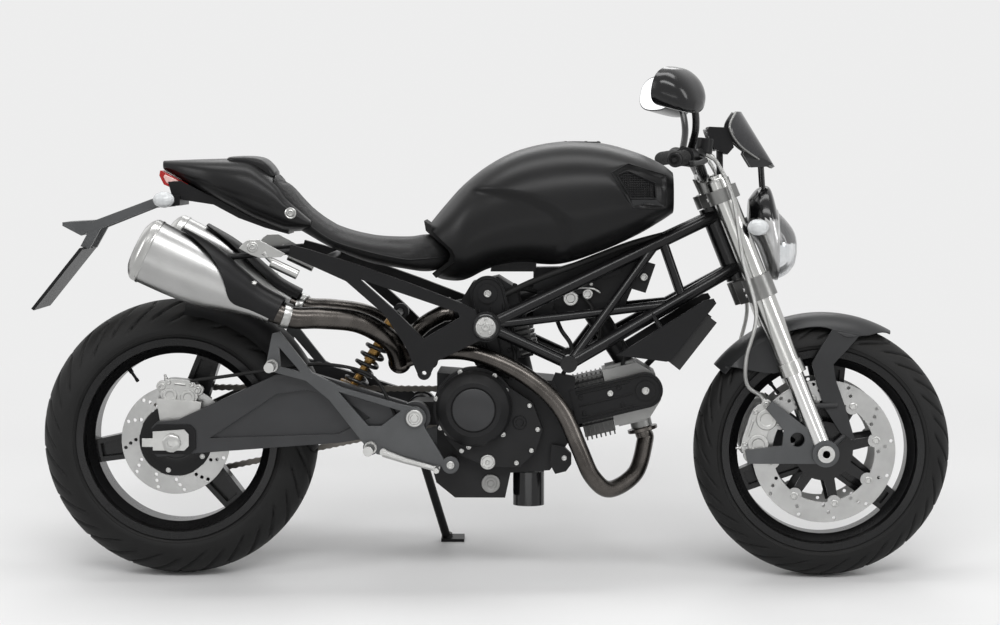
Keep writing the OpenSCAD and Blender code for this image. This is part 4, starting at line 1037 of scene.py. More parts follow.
@dataclass
class Wheels:
    """Tyres, disc rivets, valves and hub trim."""

    def build(self) -> None:
        """Makes the pieces of both wheels."""
        rear = {"outer": 312.0, "crown": 80.0, "half_bead": 67.0}
        Tyre("rear_tyre_treaded", "rear_tyre", Body.REAR_WHEEL, REAR_AXLE, **rear).build()
        front = {"outer": 288.0, "crown": 59.0, "half_bead": 47.0, "groove": 4.0}
        Tyre("front_tyre_treaded", "front_tyre", Body.FRONT_WHEEL, FRONT_AXLE, **front).build()
        self.rivets()
        self.carrier()
        self.valves()

    def carrier(self) -> None:
        """Makes the dark middle of the rear disc."""
        at = REAR_AXLE - ACROSS * 90.3
        step = [(-0.2, 26), (2.4, 26), (3.2, 27), (3.2, 40), (1.4, 42), (1.4, 80), (0.8, 81), (-0.2, 81), (-0.2, 26)]
        shape = Shape().turned(step, at, -ACROSS, 72)
        for k in range(5):
            shape.paint(1).bolt(at + spoke(72.0 * k + 40.0, 70.0, -1.4), -ACROSS, 6.0, 3.0)
        shape.piece("rear_disc_carrier", Body.REAR_WHEEL, [PAINTS.wheel, PAINTS.zinc])

    def rivets(self) -> None:
        """Makes the floating rivets of the front discs."""
        shape = Shape()
        rivet = [(-1, 8.5), (1.8, 8.5), (2.6, 7.4), (2.6, 5), (1.4, 4.4), (1.4, TIP)]
        lobe = [(-2.4, TIP), (-2.4, 15), (2.4, 15), (2.4, TIP)]
        for k in range(8):
            turn = 45.0 * k + 12.0
            shape.paint(0).turned(rivet, FRONT_AXLE + spoke(turn, 120.0, 68.5), ACROSS, 24)
            shape.paint(1).turned(lobe, FRONT_AXLE + spoke(turn, 116.0, 66.0), ACROSS, 28)
        shape.mirrored().piece("front_disc_rivets", Body.FRONT_WHEEL, [PAINTS.zinc, PAINTS.disc_front])

    def valves(self) -> None:
        """Makes the tyre valves and hub seals."""
        seal = [(-1, 34), (0.8, 34), (1.4, 33), (1.4, 24), (0.4, 23), (-1, 23)]
        stem = [(0, 5.5), (10, 5), (12, 3.6), (28, 3.4), (29, 4.2), (36, 4.2), (37, TIP)]
        out = spoke(128.0)
        for name, body, centre, hub in (
            ("rear_valve_and_seal", Body.REAR_WHEEL, REAR_AXLE, 85.2),
            ("front_valve_and_seal", Body.FRONT_WHEEL, FRONT_AXLE, 63.2),
        ):
            shape = Shape().turned(seal, centre + ACROSS * hub, ACROSS, 40).mirrored()
            shape.turned(stem, centre + out * 192.0, -out - 0.35 * ACROSS, 16)
            shape.piece(name, body, [PAINTS.plastic])


@dataclass
class FuelTank:
    """Tank shell with its knee recess, air intakes and filler."""

    stations: Table = (
        (568, 92, 738, 796, 680), (600, 114, 750, 835, 668), (645, 138, 772, 884, 668), (702, 150, 800, 928, 694),
        (770, 158, 822, 961, 706), (860, 166, 838, 979, 704), (950, 168, 850, 976, 732), (1030, 158, 852, 955, 768),
        (1085, 132, 852, 930, 800), (1112, 104, 850, 910, 818),
    )
    knee: Table = (
        (560, 905), (640, 886), (673, 877), (728, 872), (794, 857), (848, 832), (882, 800), (887, 776), (876, 746),
        (850, 716), (827, 690), (560, 640),
    )
    intake: Table = ((973, 910), (1009, 930), (1093, 904), (1096, 830), (1020, 833))
    grille: Table = ((985, 905), (1009, 914), (1069, 887), (1071, 853), (1015, 853))
    notch: Table = ((550, 800), (566, 788), (621, 739), (627, 726), (625, 712), (581, 679), (550, 660))
    knee_depth: float = 13.0
    intake_depth: float = 9.0
    power: float = 2.5
    count: int = 144

    def ring(self, s: Vector) -> list[Vector]:
        """Draws one ring of the shell."""
        x, wide, mid, top, low = s
        out = []
        for y, z in oval(self.count, wide, top - mid, mid - low, self.power):
            height = mid + z
            sunk = self.knee_depth * eased(depth_inside(x, height, self.knee), -3.0, 12.0)
            sunk *= eased(abs(y), 20.0, 60.0)
            inlet = eased(depth_inside(x, height, self.intake), 0.0, 9.0) * eased(abs(y), 40.0, 60.0)
            sunk += self.intake_depth * inlet
            out.append(Vector((x, y - math.copysign(sunk, y) if abs(y) > 1 else y, height)))
        return out

    def build(self) -> None:
        """Makes the shell, the grilles and the filler."""
        rings = [self.ring(s) for s in smoothed(self.stations, 9)]
        shell = Shape().loft(rings).piece("fuel_tank_shell", Body.CHASSIS, [PAINTS.tank], ["fuel_tank"])
        hollowed(shell, Shape().plate(self.notch, -180.0, 180.0))
        soften(shell, 42.0)
        self.grilles()
        self.filler()

    def width_at(self, x: float, z: float) -> float:
        """Finds the half width of the plain shell at a place."""
        line = smoothed(self.stations, 9)
        s = min(line, key=lambda q: abs(q[0] - x))
        _, wide, mid, top, low = s
        reach = (top - mid) if z >= mid else (mid - low)
        f = min(abs(z - mid) / reach, 1.0)
        return wide * (1 - f**self.power) ** (1 / self.power)

    def on_shell(self, places: Sequence[Point], sink: float) -> list[Vector]:
        """Puts places along and up a little under the plain shell."""
        return [Vector((x, self.width_at(x, z) - sink, z)) for x, z in places]

    def grilles(self) -> None:
        """Makes the mesh of bars in each air intake."""
        shape = Shape()
        bars = [([(984.0 + 5.0 * k, z) for z in range(834, 930)], 7.5) for k in range(18)]
        bars += [([(x, 855.0 + 5.0 * k) for x in range(980, 1086)], 7.0) for k in range(14)]
        for bar, sink in bars:
            kept = [p for p in bar if depth_inside(*p, self.grille) > 1.0]
            if len(kept) > 4:
                shape.tube(self.on_shell(kept[::3], sink), 1.2, 6)
        for outline, sink, r in ((self.grille, 6.0, 2.2), (self.intake, 0.6, 1.8)):
            rim = [*outline, outline[0]]
            dense = [Vector(a).lerp(Vector(b), 0.25 * t) for a, b in zip(rim, rim[1:]) for t in range(4)]
            shape.tube(self.on_shell([*dense, dense[0]], sink), r, 10)
        lip = [(1020, 834), (1094, 831), (1071, 851), (1016, 851)]
        shape.paint(1).loft([self.on_shell(lip, sink) for sink in (6, 2)])
        finishes = [PAINTS.plastic, PAINTS.grey_plastic]
        shape.mirrored().piece("tank_intake_grilles", Body.CHASSIS, finishes, ["intake_grilles"])

    def filler(self) -> None:
        """Makes the filler cap on the crown."""
        at = Vector((905, 0, 975.5))
        profile = [(-6, 46), (2.6, 46), (3.6, 44.6), (3.6, 36), (2.6, 35), (2.6, 30), (3.4, 29), (3.4, TIP)]
        shape = Shape().turned(profile, at, (0, 0, 1), 48)
        for k in range(5):
            a = 2 * math.pi * k / 5
            shape.bolt(at + Vector((40.5 * math.cos(a), 40.5 * math.sin(a), 3.2)), (0, 0, 1), 3.0, 1.4)
        shape.piece("filler_cap", Body.CHASSIS, [PAINTS.case])


@dataclass
class Seat:
    """Dished saddle of foam under hide, with its piping."""

    stations: Table = (
        (220, 92, 876, 912, 838), (254, 96, 838, 874, 796), (298, 101, 800, 826, 768), (355, 114, 762, 788, 738),
        (434, 127, 738, 766, 708), (513, 130, 722, 762, 694), (552, 122, 722, 767, 688), (580, 104, 724, 766, 690),
        (604, 84, 726, 747, 703), (620, 60, 726, 734, 717),
    )
    power: float = 3.2
    count: int = 96
    slack: float = 2.5
    swell: float = 0.005
    skin: float = 0.005
    frames: int = 20
    pressure: float = 4.0
    free: tuple[float, float] = (232.0, 590.0)

    def rings(self) -> Rings:
        """Draws the rings of the saddle, a little small for the foam to fill."""
        out = []
        for x, wide, mid, top, low in smoothed(self.stations, 8):
            small = (x, wide - self.slack, mid, top - mid - self.slack, mid - low)
            out.append(station_ring(small, self.count, self.power))
        return out

    def build(self) -> None:
        """Makes the saddle and its piping."""
        saddle = Shape().loft(self.rings()).piece("seat_saddle", Body.CHASSIS, [PAINTS.hide], ["seat"], sharp=60.0)
        self.inflate(saddle)
        soften(saddle, 60.0)
        self.piping()
        seal = [
            (556, 803), (570, 793), (625, 744), (632, 726), (629, 708), (583, 674), (574, 684), (610, 712),
            (613, 726), (608, 738), (560, 780),
        ]
        Shape().plate(seal, -66.0, 66.0).piece("seat_nose_seal", Body.CHASSIS, [PAINTS.grip], bevel=1.0)

    def inflate(self, saddle: bpy.types.Object) -> None:
        """Swells the foam under its cover and keeps the result.

        Args:
            saddle: The plain saddle.
        """
        even = saddle.modifiers.new("even_skin", "REMESH")
        even.mode = "VOXEL"
        even.voxel_size = self.skin
        applied(saddle)
        rest = [v.co.copy() for v in saddle.data.vertices]
        back = STANCE.inverted()
        line = smoothed(self.stations, 8)
        tacked = saddle.vertex_groups.new(name="tacked_edge")
        for v in saddle.data.vertices:
            p = back @ v.co
            mid = min(line, key=lambda q: abs(q[0] - p.x))[2]
            if p.z < mid - 4.0 or not self.free[0] <= p.x <= self.free[1]:
                tacked.add([v.index], 1.0, "REPLACE")
        cover = saddle.modifiers.new("cover", "CLOTH")
        cover.settings.vertex_group_mass = tacked.name
        cover.settings.use_pressure = True
        cover.settings.uniform_pressure_force = self.pressure
        cover.settings.effector_weights.gravity = 0.0
        cover.point_cache.frame_start, cover.point_cache.frame_end = 1, self.frames
        for frame in range(1, self.frames + 1):
            bpy.context.scene.frame_set(frame)
        applied(saddle)
        bpy.context.scene.frame_set(1)
        for v, was in zip(saddle.data.vertices, rest):
            move = v.co - was
            if move.length > self.swell:
                v.co = was + move.normalized() * self.swell
        finer = saddle.modifiers.new("smooth_hide", "SUBSURF")
        finer.levels = finer.render_levels = 1
        applied(saddle)

    def piping(self) -> None:
        """Makes the sewn piping along both sides."""
        line = [(x, 1.2 - wide, mid - 3.0) for x, wide, mid, _, _ in smoothed(self.stations[:-1], 8)]
        Shape().tube(line, 2.0, 10).mirrored().piece("seat_piping", Body.CHASSIS, [PAINTS.plastic])


@dataclass
class Tail:
    """Pointed cowl, lamp, indicators and bolts."""

    stations: Table = (
        (-34, 26, 926, 936, 916), (10, 62, 914, 938, 892), (70, 92, 896, 940, 858), (130, 108, 876, 941, 826),
        (168, 113, 862, 937, 806), (199, 113.5, 850, 917, 793), (228, 113, 836, 892, 782), (250, 112, 822, 862, 777),
        (284, 109, 804, 828, 779), (306, 106, 796, 807, 785),
    )
    pad: Table = (
        (112, 44, 934, 941), (122, 62, 930, 945.5), (160, 70, 922, 947), (190, 70, 908, 943), (208, 66, 896, 930),
        (220, 58, 890, 914),
    )
    crease: tuple[tuple[float, float], tuple[float, float]] = ((-5, 915), (168, 859))
    crease_depth: float = 3.5
    power: float = 3.0
    count: int = 128

    def flank(self, x: float, y: float, z: float) -> Vector:
        """Sinks the flank a little below its crease."""
        (ax, az), (bx, bz) = self.crease
        below = az + (x - ax) / (bx - ax) * (bz - az) - z
        sunk = self.crease_depth * eased(below, 0.0, 5.0) * eased(abs(y), 10.0, 40.0) * (1 - eased(x, 190.0, 290.0))
        return Vector((x, y - math.copysign(sunk, y), z))

    def build(self) -> None:
        """Makes the cowl, the lamp and the indicators."""
        rings = []
        for x, wide, mid, top, low in smoothed(self.stations, 8):
            ring = station_ring((x, wide, mid, top - mid, mid - low), self.count, self.power)
            rings.append([self.flank(*p) for p in ring])
        Shape().loft(rings).piece("tail_cowl_shell", Body.CHASSIS, [PAINTS.tank], ["tail_cowl"], sharp=36.0)
        self.top_cover()
        self.lamp()
        self.indicators()
        self.fixings()

    def top_cover(self) -> None:
        """Makes the raised hard cover on the cowl's crown."""
        rings = []
        for x, wide, low, top in smoothed(self.pad, 6):
            mid = 0.5 * (low + top)
            rings.append(station_ring((x, wide, mid, top - mid, mid - low), 64, 4.0))
        Shape().loft(rings).piece("cowl_top_cover", Body.CHASSIS, [PAINTS.tank], sharp=50.0)

    def lamp(self) -> None:
        """Makes the red lens round its bright core."""
        outline = [(-36, 915), (-4, 899), (26, 884), (30, 876), (24, 872), (-10, 875), (-28, 883), (-38, 903)]
        core = [(-25, 906), (-2, 895), (20, 883), (22, 877), (-8, 879), (-22, 887), (-29, 900)]
        shape = Shape().paint(1).plate(core, 50.0, 58.4).mirrored().paint(0).plate(outline, -57.5, 57.5)
        shape.piece("tail_lamp_lens", Body.CHASSIS, [PAINTS.red, PAINTS.lit], ["tail_light"], bevel=1.6)

    def indicators(self) -> None:
        """Makes the oval rear indicators."""
        shape = Shape()
        lens_lamp(shape, Vector((-18, -118, 850)), Vector((-0.35, -1, 0.15)), 18.0)
        finishes = [PAINTS.pale, PAINTS.plastic, PAINTS.reflector]
        shape.mirrored().piece("rear_indicator_lamps", Body.CHASSIS, finishes, ["rear_indicators"])

    def fixings(self) -> None:
        """Makes the cowl's bolts."""
        shape = Shape().turned([(-1, 13), (1.5, 13), (2.5, 11), (1.5, 9)], (262, 111, 820), ACROSS, 28)
        shape.bolt((262, 112, 820), ACROSS, 8.0, 4.0)
        shape.mirrored().piece("tail_fixings", Body.CHASSIS, [PAINTS.zinc])


def lens_lamp(shape: Shape, at: Vector, facing: Vector, r: float) -> None:
    """Adds a small lamp: a clear front, a bright bowl and a dark back.

    Args:
        shape: Shape that takes it.
        at: Middle of the lamp.
        facing: Way that it shines.
        r: Its radius.
    """
    start = len(shape.points)
    profile = [(0.0, r), (0.35 * r, 0.97 * r), (0.7 * r, 0.74 * r), (0.93 * r, 0.4 * r), (r, TIP)]
    shape.paint(0).turned(profile, at, facing)
    shape.paint(1).turned([(0.0, 0.99 * r), (-0.4 * r, 0.9 * r), (-0.75 * r, 0.62 * r), (-r, TIP)], at, facing)
    bowl = [(-0.28, TIP), (-0.3, 0.5), (-0.02, 0.93), (0.03, 0.93), (-0.2, 0.5), (-0.22, TIP)]
    shape.paint(2).turned([(r * u, r * v if v > 0.1 else TIP) for u, v in bowl], at, facing)
    shape.paint(0)
    for p in shape.points[start:]:
        p.x = at.x + 1.35 * (p.x - at.x)


@dataclass
class Exhaust:
    """Header pipes, cans, tail caps and heat guards."""

    front: Vector = field(default_factory=lambda: Vector((236, 186, 604)))
    rear: Vector = field(default_factory=lambda: Vector((-55, 196, 746)))
    rings: Table = (
        (0.02, 27, 27), (0.14, 31, 30), (0.3, 44, 40), (0.48, 60, 50), (0.68, 69, 57), (0.96, 72, 60), (1, 69, 57),
    )
    guard: Table = (
        (-0.02, 30, 30, 20, 200), (0.14, 32, 31, 24, 200), (0.27, 42, 38, 34, 199), (0.35, 49, 43, 39, 180),
        (0.45, 58, 49, 46, 150), (0.6, 67, 55, 57, 126), (0.8, 71, 59, 72, 102),
    )
    power: float = 2.3

    def up(self) -> Vector:
        """Returns the can's own upward direction."""
        return ACROSS.cross((self.rear - self.front).normalized()).normalized()

    def at(self, f: float, angle: float, tall: float, wide: float) -> Vector:
        """Finds a point on a can.

        Args:
            f: Share of the way from the front to the rear.
            angle: Angle round it in degrees, 90 upwards and 180 outboard.
            tall: Half height there.
            wide: Half width there.

        Returns:
            The point on the left can.
        """
        across, rise = squared(math.radians(angle), self.power)
        return self.front.lerp(self.rear, f) - wide * across * ACROSS + tall * rise * self.up()

    def build(self) -> None:
        """Makes pipes, cans and guards."""
        self.cans()
        self.guards()
        self.pipes()
        self.brackets()

    def cans(self) -> None:
        """Makes both cans with their tail caps."""
        shape = Shape()
        turn = [360.0 * k / 80 for k in range(80)]
        line = smoothed(self.rings[:-1], 8)
        shape.loft([[self.at(f, a, tall, wide) for a in turn] for f, tall, wide in line], caps=False)
        shape.paint(1)
        cap = [
            (0.93, 72.6, 60.6), (0.935, 73.6, 61.6), (0.945, 73.6, 61.6), (0.95, 72.4, 60.4), (0.975, 72.4, 60.4),
            (0.99, 70, 58), (1.012, 62, 51), (1.03, 50, 42), (1.034, 44, 37), (1.02, 40, 34), (0.98, 38, 32),
        ]
        shape.loft([[self.at(f, a, tall, wide) for a in turn] for f, tall, wide in cap])
        shape.paint(2)
        outlet = self.front + 0.985 * (self.rear - self.front)
        axis = self.rear - self.front
        shape.turned([(0, 27), (9, 27), (10, 26), (10, 22), (0.5, 21), (0.5, TIP)], outlet, axis)
        shape.mirrored()
        shape.piece("muffler_cans", Body.CHASSIS, [PAINTS.can, PAINTS.zinc, PAINTS.plastic], ["mufflers"])

    def guards(self) -> None:
        """Makes the black heat guards."""
        shape = Shape()
        rings = []
        for f, tall, wide, low, high in smoothed(self.guard, 6):
            outer = [self.at(f, low + (high - low) * i / 28, tall + 9.0, wide + 9.0) for i in range(29)]
            inner = [self.at(f, high - (high - low) * i / 28, tall + 5.5, wide + 5.5) for i in range(29)]
            rings.append([*outer, *inner])
        shape.loft(rings).mirrored()
        shape.piece("muffler_heat_guards", Body.CHASSIS, [PAINTS.plastic], ["muffler_guards"], sharp=40.0, bevel=0.8)

    def brackets(self) -> None:
        """Makes the hanger plates, their bolts and the clamps of the cans."""
        plate = [(157, 745), (166, 756), (176, 763), (202, 764), (259, 733), (249, 726), (202, 724), (183, 731)]
        shape = Shape().plate(plate, 190.0, 194.0)
        shape.turned([(-1, 12), (1.5, 12), (2.5, 10.5), (2.5, 9)], (187, 194, 748), ACROSS, 28)
        shape.bolt((187, 195, 748), ACROSS, 7.0, 4.0)
        rod = [(0, TIP), (0, 10), (1, 11), (64, 11), (65, 10), (65, TIP)]
        shape.turned(rod, (226, 182, 714), (0.905, 0, -0.425), 24)
        shape.tube([(210, 191, 736), (234, 182, 711)], 6.0, 14)
        ring = [(-9, 25), (-9, 27.6), (-8, 28.2), (8, 28.2), (9, 27.6), (9, 25)]
        shape.turned(ring, (258, 182.5, 597), (0.92, -0.22, -0.28), 32)
        shape.bolt(self.at(0.21, 122.0, 46.0, 43.0), (0, 0.6, 0.8), 6.0, 3.0)
        shape.mirrored().piece("muffler_brackets", Body.CHASSIS, [PAINTS.zinc], bevel=0.6)

    def pipes(self) -> None:
        """Makes the headers, the collector and the two link pipes."""
        link = [(500, 46, 488), (482, 88, 536), (416, 124, 578), (334, 158, 590), (276, 179, 592), (228, 186, 607)]
        shape = Shape().tube(smoothed(link, 8), 24.0, 28).mirrored()
        swell = [4, 12, 17, 21]
        collector = [(500, y, 484) for y in (-58, -50, -9, 32, 40)]
        shape.tube(smoothed(collector, 4), [*swell, *[26] * 9, *swell[::-1]], 28)
        flange = [(2, 19.5), (2, 34), (9, 34), (10, 33), (10, 19.5)]
        front = [
            (1030, -52, 236), (972, -108, 206), (932, -136, 238), (904, -145, 300), (866, -146, 384),
            (812, -146, 442), (740, -140, 486), (660, -122, 512), (590, -92, 512), (540, -60, 500), (500, -34, 484),
        ]
        rear = [(548, 8, 562), (512, 16, 520), (500, 16, 484)]
        for tilt, square, axis, path in (
            (13.5, spoke(-76.5), Vector((0.23, 0, -0.97)), front), (103.5, spoke(193.5), spoke(193.5), rear)
        ):
            port = CRANK + 266.0 * spoke(tilt) + 86.0 * square
            shape.tube(smoothed([*(port + d * square for d in (0.5, 16, 32)), *path], 8), 19.0, 28)
            shape.turned(flange, port, axis, 32)
        shape.piece("exhaust_headers", Body.CHASSIS, [PAINTS.pipe], ["exhaust_pipes"])


@dataclass
class FrontFender:
    """Curved blade over the front tyre with its stays."""

    radius: float = 226.0
    section: float = 82.0
    thick: float = 3.0
    start: float = 60.0
    reach: float = 82.0
    skirt: float = 0.27
    stay_at: float = 1.38

    def build(self) -> None:
        """Makes the blade and the stays."""
        shape = Shape()
        rings = []
        widest = math.acos((280.0 - self.radius) / self.section)
        for k in range(49):
            turn = math.radians(self.start + self.reach * k / 48)
            out = spoke(math.degrees(turn))
            lobe = self.skirt * math.exp(-(((turn - self.stay_at) / 0.13) ** 2))
            half = widest * (1 - 0.55 * eased(6 - k, 0, 6)) + lobe
            ring = []
            for r, order in ((self.section, 1), (self.section - self.thick, -1)):
                for i in range(25):
                    a = half * (2 * i / 24 - 1) * order
                    ring.append(FRONT_AXLE + out * (self.radius + r * math.cos(a)) + ACROSS * (r * math.sin(a)))
            rings.append(ring)
        self.stays(shape)
        self.flanks(shape)
        shape.mirrored().loft(rings)
        shape.piece("front_fender_blade", Body.STEERING, [PAINTS.grey_plastic], ["front_fender"], sharp=40.0, bevel=0.7)

    def stays(self, shape: Shape) -> None:
        """Adds the right arm down to the fork foot."""
        rings = []
        for ax, az, bx, bz, y in (
            (80, 262, 18, 274, 66), (52, 230, -6, 238, 72), (19, 196, -29, 199, 78.5),
            (25, 160, -20, 160, 79), (45, 104, -1, 100, 79), (69, 24, 36, 42, 79),
        ):
            corners = ((ax, y - 3.5, az), (ax, y + 3.5, az), (bx, y + 3.5, bz), (bx, y - 3.5, bz))
            rings.append([FRONT_AXLE + Vector((x, -across, z)) for x, across, z in corners])
        shape.loft(rings)
        for a, b in (((28, -80, 104), (-26, -92, 104)), ((44, -80, 36), (20, -90, 16))):
            shape.tube([FRONT_AXLE + Vector(a), FRONT_AXLE + Vector(b)], 6.0, 16)

    def flanks(self, shape: Shape) -> None:
        """Adds the right wall behind the fork."""
        low = smoothed([(-94, 180), (-112, 174), (-150, 178), (-190, 186), (-222, 190)], 4)
        rings = []
        for k, (x, z) in enumerate(low):
            high = spoke(110.0 + 30.0 * k / (len(low) - 1), 281.0)
            corners = ((x, -67.0, z), (x, -64.0, z), (high.x, -58.5, high.z), (high.x, -61.5, high.z))
            rings.append([FRONT_AXLE + Vector(c) for c in corners])
        shape.loft(rings)


@dataclass
class Headlight:
    """Shield-shaped lamp: shell, core and clear lens, with the indicators beside it."""

    shell: Table = (
        (1284, 52, 802, 48, 34), (1304, 80, 800, 74, 56), (1330, 88, 776, 100, 98), (1346, 84, 750, 76, 82),
    )
    lens: Table = (
        (1346.3, 82, 750, 74, 80), (1368.3, 72, 746, 56, 66), (1385.3, 48, 742, 36, 42), (1391.3, 22, 741, 16, 18),
    )
    mouth: float = 1345.0
    brow: float = 806.0
    split: float = 752.0

    @staticmethod
    def rings(stations: Sequence[Point], steps: int) -> Rings:
        """Draws smooth rings through stations."""
        return [station_ring(s, 72, 2.3) for s in smoothed(stations, steps)]

    def build(self) -> None:
        """Makes the lamp."""
        shell = Shape().loft(self.rings(self.shell, 10))
        for i, face in enumerate(shell.faces):
            middle = sum((shell.points[k].z for k in face), 0.0) / len(face)
            front = min(shell.points[k].x for k in face) > self.mouth
            shell.marks[i] = 1 if middle > self.brow or front else 0
        for side in Side:
            shell.paint(1).tube([(1302, side.value * 58, 786), (1270, side.value * 84, 786)], 8.0, 16)
            shell.tube([(1316, side.value * 34, 850), (1310, side.value * 34, 936)], 4.5, 12)
        rim = self.rings([(1344, 85.5, 751, 77.5, 83.5), (1348.5, 84.5, 750, 76.5, 82.5)], 1)
        shell.paint(0).loft(rim)
        shell.piece("headlight_shell", Body.STEERING, [PAINTS.lamp_shell, PAINTS.gloss], ["headlight"], sharp=40.0)
        lens = Shape().loft(self.rings(self.lens, 8))
        lens.piece("headlight_clear_lens", Body.STEERING, [PAINTS.clear], ["headlight_lens"], sharp=50.0)
        inside = [(x - 4.0, 0.93 * w, z, 0.93 * up, 0.93 * down) for x, w, z, up, down in self.lens]
        core = Shape().loft(self.rings(inside, 8))
        for i, face in enumerate(core.faces):
            core.marks[i] = int(sum(core.points[k].z for k in face) / len(face) > self.split)
        core.piece("headlight_core", Body.STEERING, [PAINTS.reflector, PAINTS.gloss], sharp=50.0)
        indicators, at = Shape(), Vector((1296, -122, 790))
        lens_lamp(indicators, at, Vector((0.35, -1, 0)), 18.0)
        indicators.paint(1).tube([(1266, -106, 786), at], 6.0, 16)
        finishes = [PAINTS.pale, PAINTS.plastic, PAINTS.reflector]
        indicators.mirrored().piece("front_indicator_lamps", Body.STEERING, finishes, ["front_indicators"])


@dataclass
class Cockpit:
    """Screen, handlebar, grips, levers, mirrors and hoses."""

    def bar_path(self) -> list[Vector]:
        """Returns the left half of the bar, from its end to the clamp."""
        offsets = ((-74, 388, 40), (-62, 328, 42), (-42, 228, 46), (-18, 160, 42), (0, 96, 8), (0, 70, 0))
        return [BAR_CLAMP + Vector(o) for o in offsets]

    def build(self) -> None:
        """Makes every piece of the cockpit."""
        self.screen()
        self.dials()
        self.bar()
        self.grips()
        self.levers()
        self.mirrors()
        self.hoses()

    def screen(self) -> None:
        """Makes the small smoked screen."""
        low, high = Vector((1340, 921)), Vector((1264, 1044))
        rings, edge = [], []
        stations = [(0, 18, 6), (0.12, 38, 22), (0.4, 72, 50), (0.72, 88, 50), (1, 62, 14)]
        line = smoothed(stations, 10)
        for f, wide, sweep in line:
            c = low + f * (high - low)
            ring = []
            for back in (3, -3):
                for i in range(49):
                    y = wide * (2 * i / 48 - 1) * (1 if back > 0 else -1)
                    ring.append(Vector((c.x - sweep * (y / wide) ** 2 - 0.86 * back, y, c.y - 0.5 * back)))
            rings.append(ring)
            edge.append(Vector((c.x - sweep, -wide, c.y)))
        under = [(1286, 921), (1322, 923), (1334, 930), (1300, 948), (1272, 962), (1268, 950)]
        shape = Shape().paint(1).tube(edge, 2.6, 10).paint(2).plate(under, -24.0, -44.0)
        shape.mirrored().paint(0).loft(rings)
        finishes = [PAINTS.smoke, PAINTS.clamp, PAINTS.grey_plastic]
        shape.piece("smoked_flyscreen", Body.STEERING, finishes, ["flyscreen"], sharp=40.0)

    def dials(self) -> None:
        """Makes the faces of the instruments."""
        shape = Shape()
        facing = Vector((-0.915, 0, -0.39)).normalized()
        for y, z in ((-30, 982), (30, 982)):
            at = Vector((1194.4, y, z))
            shape.turned([(-1, 27), (1.5, 27), (2.5, 25.5), (2.5, 23), (1.2, 22.5), (1.2, TIP)], at, facing, 40)
        shape.piece("instrument_dials", Body.STEERING, [PAINTS.gloss])

    def bar(self) -> None:
        """Makes the bent handlebar."""
        path = smoothed(self.bar_path(), 8)
        other = [Vector((p.x, -p.y, p.z)) for p in reversed(path)]
        shape = Shape().tube([*path, *other], 11.0, 24)
        shape.piece("bent_handlebar", Body.STEERING, [PAINTS.gloss], ["handlebar"])

    def grips(self) -> None:
        """Makes ribbed grips and the bar's end weights."""
        shape = Shape()
        path = self.bar_path()
        along = (path[2] - path[0]).normalized()
        profile = [(-4, 11.9), (-4, 14), (-3, 15), (8, 15), (8.2, 16.4)]
        for k in range(18):
            d = 10.0 + 6.2 * k
            profile += [(d, 16.4), (d + 1.0, 15.4), (d + 2.4, 15.4), (d + 3.4, 16.4)]
        profile += [(123, 16.4), (124, 15.4), (124, 11.9)]
        shape.turned(profile, path[0], along, 32)
        end = [
            (0, TIP), (0, 4), (-3, 5), (-3, 9), (-1, 10.5), (-2, 12.5), (-4, 12.5), (-6, 11), (-6, 14.5), (1, 14.5),
        ]
        shape.paint(1).turned(end, path[0] - along * 1.0, along, 32)
        shape.mirrored().piece("ribbed_grips", Body.STEERING, [PAINTS.grip, PAINTS.case], ["grips"], sharp=30.0)

    def levers(self) -> None:
        """Makes switch boxes, master cylinders and levers."""
        path = self.bar_path()
        inner = path[2]
        along = (path[3] - path[2]).normalized()
        shape = Shape()
        profile = [(-12, 11.7), (-12, 20), (-11, 21), (33, 21), (34, 20), (34, 17), (61, 17), (62, 16), (62, 11.7)]
        shape.turned(profile, inner, along, 28)
        away = -ACROSS
        for offset, end, r in (
            ((28, -30, -4), (36, -70, 14), 13.0), ((40, -64, 8), (44, -66, 40), 19.0),
            ((10, -44, 0), (30, -44, 0), 10.0),
        ):
            a, b = inner + Vector(offset), inner + Vector(end)
            long = (b - a).length
            shape.turned([(0, TIP), (0, r - 1), (1, r), (long - 1, r), (long, r - 1), (long, TIP)], a, b - a, 24)
        lever = [inner + Vector(o) for o in ((30, -22, -4), (40, 8, -8), (26, 70, -12), (4, 150, -14))]
        line = smoothed(lever, 6)
        shape.paint(1).tube(line, [7.0 - 0.125 * i for i in range(len(line))], 14)
        shape.tube([line[-1] + away * 4.0, line[-1], line[-1] - away * 5.0], [4.0, 7.0, 4.0], 14)
        shape.mirrored()
        shape.piece("hand_controls_set", Body.STEERING, [PAINTS.plastic, PAINTS.case], ["hand_controls"])

    def mirrors(self) -> None:
        """Makes both mirrors with their stems and glasses."""
        centre = Vector((1104, 348, 1090))
        turn = Matrix.Rotation(math.radians(30.0), 4, "Z") @ Matrix.Rotation(math.radians(12.0), 4, "Y")
        place = Matrix.Translation(centre) @ turn

        def ring(x: float, f: float, drop: float = 0.0) -> list[Vector]:
            """Draws one ring of the shell."""
            return [place @ Vector((x, y, z - drop)) for y, z in oval(72, 78 * f, 44 * f, 42 * f, 2.6)]

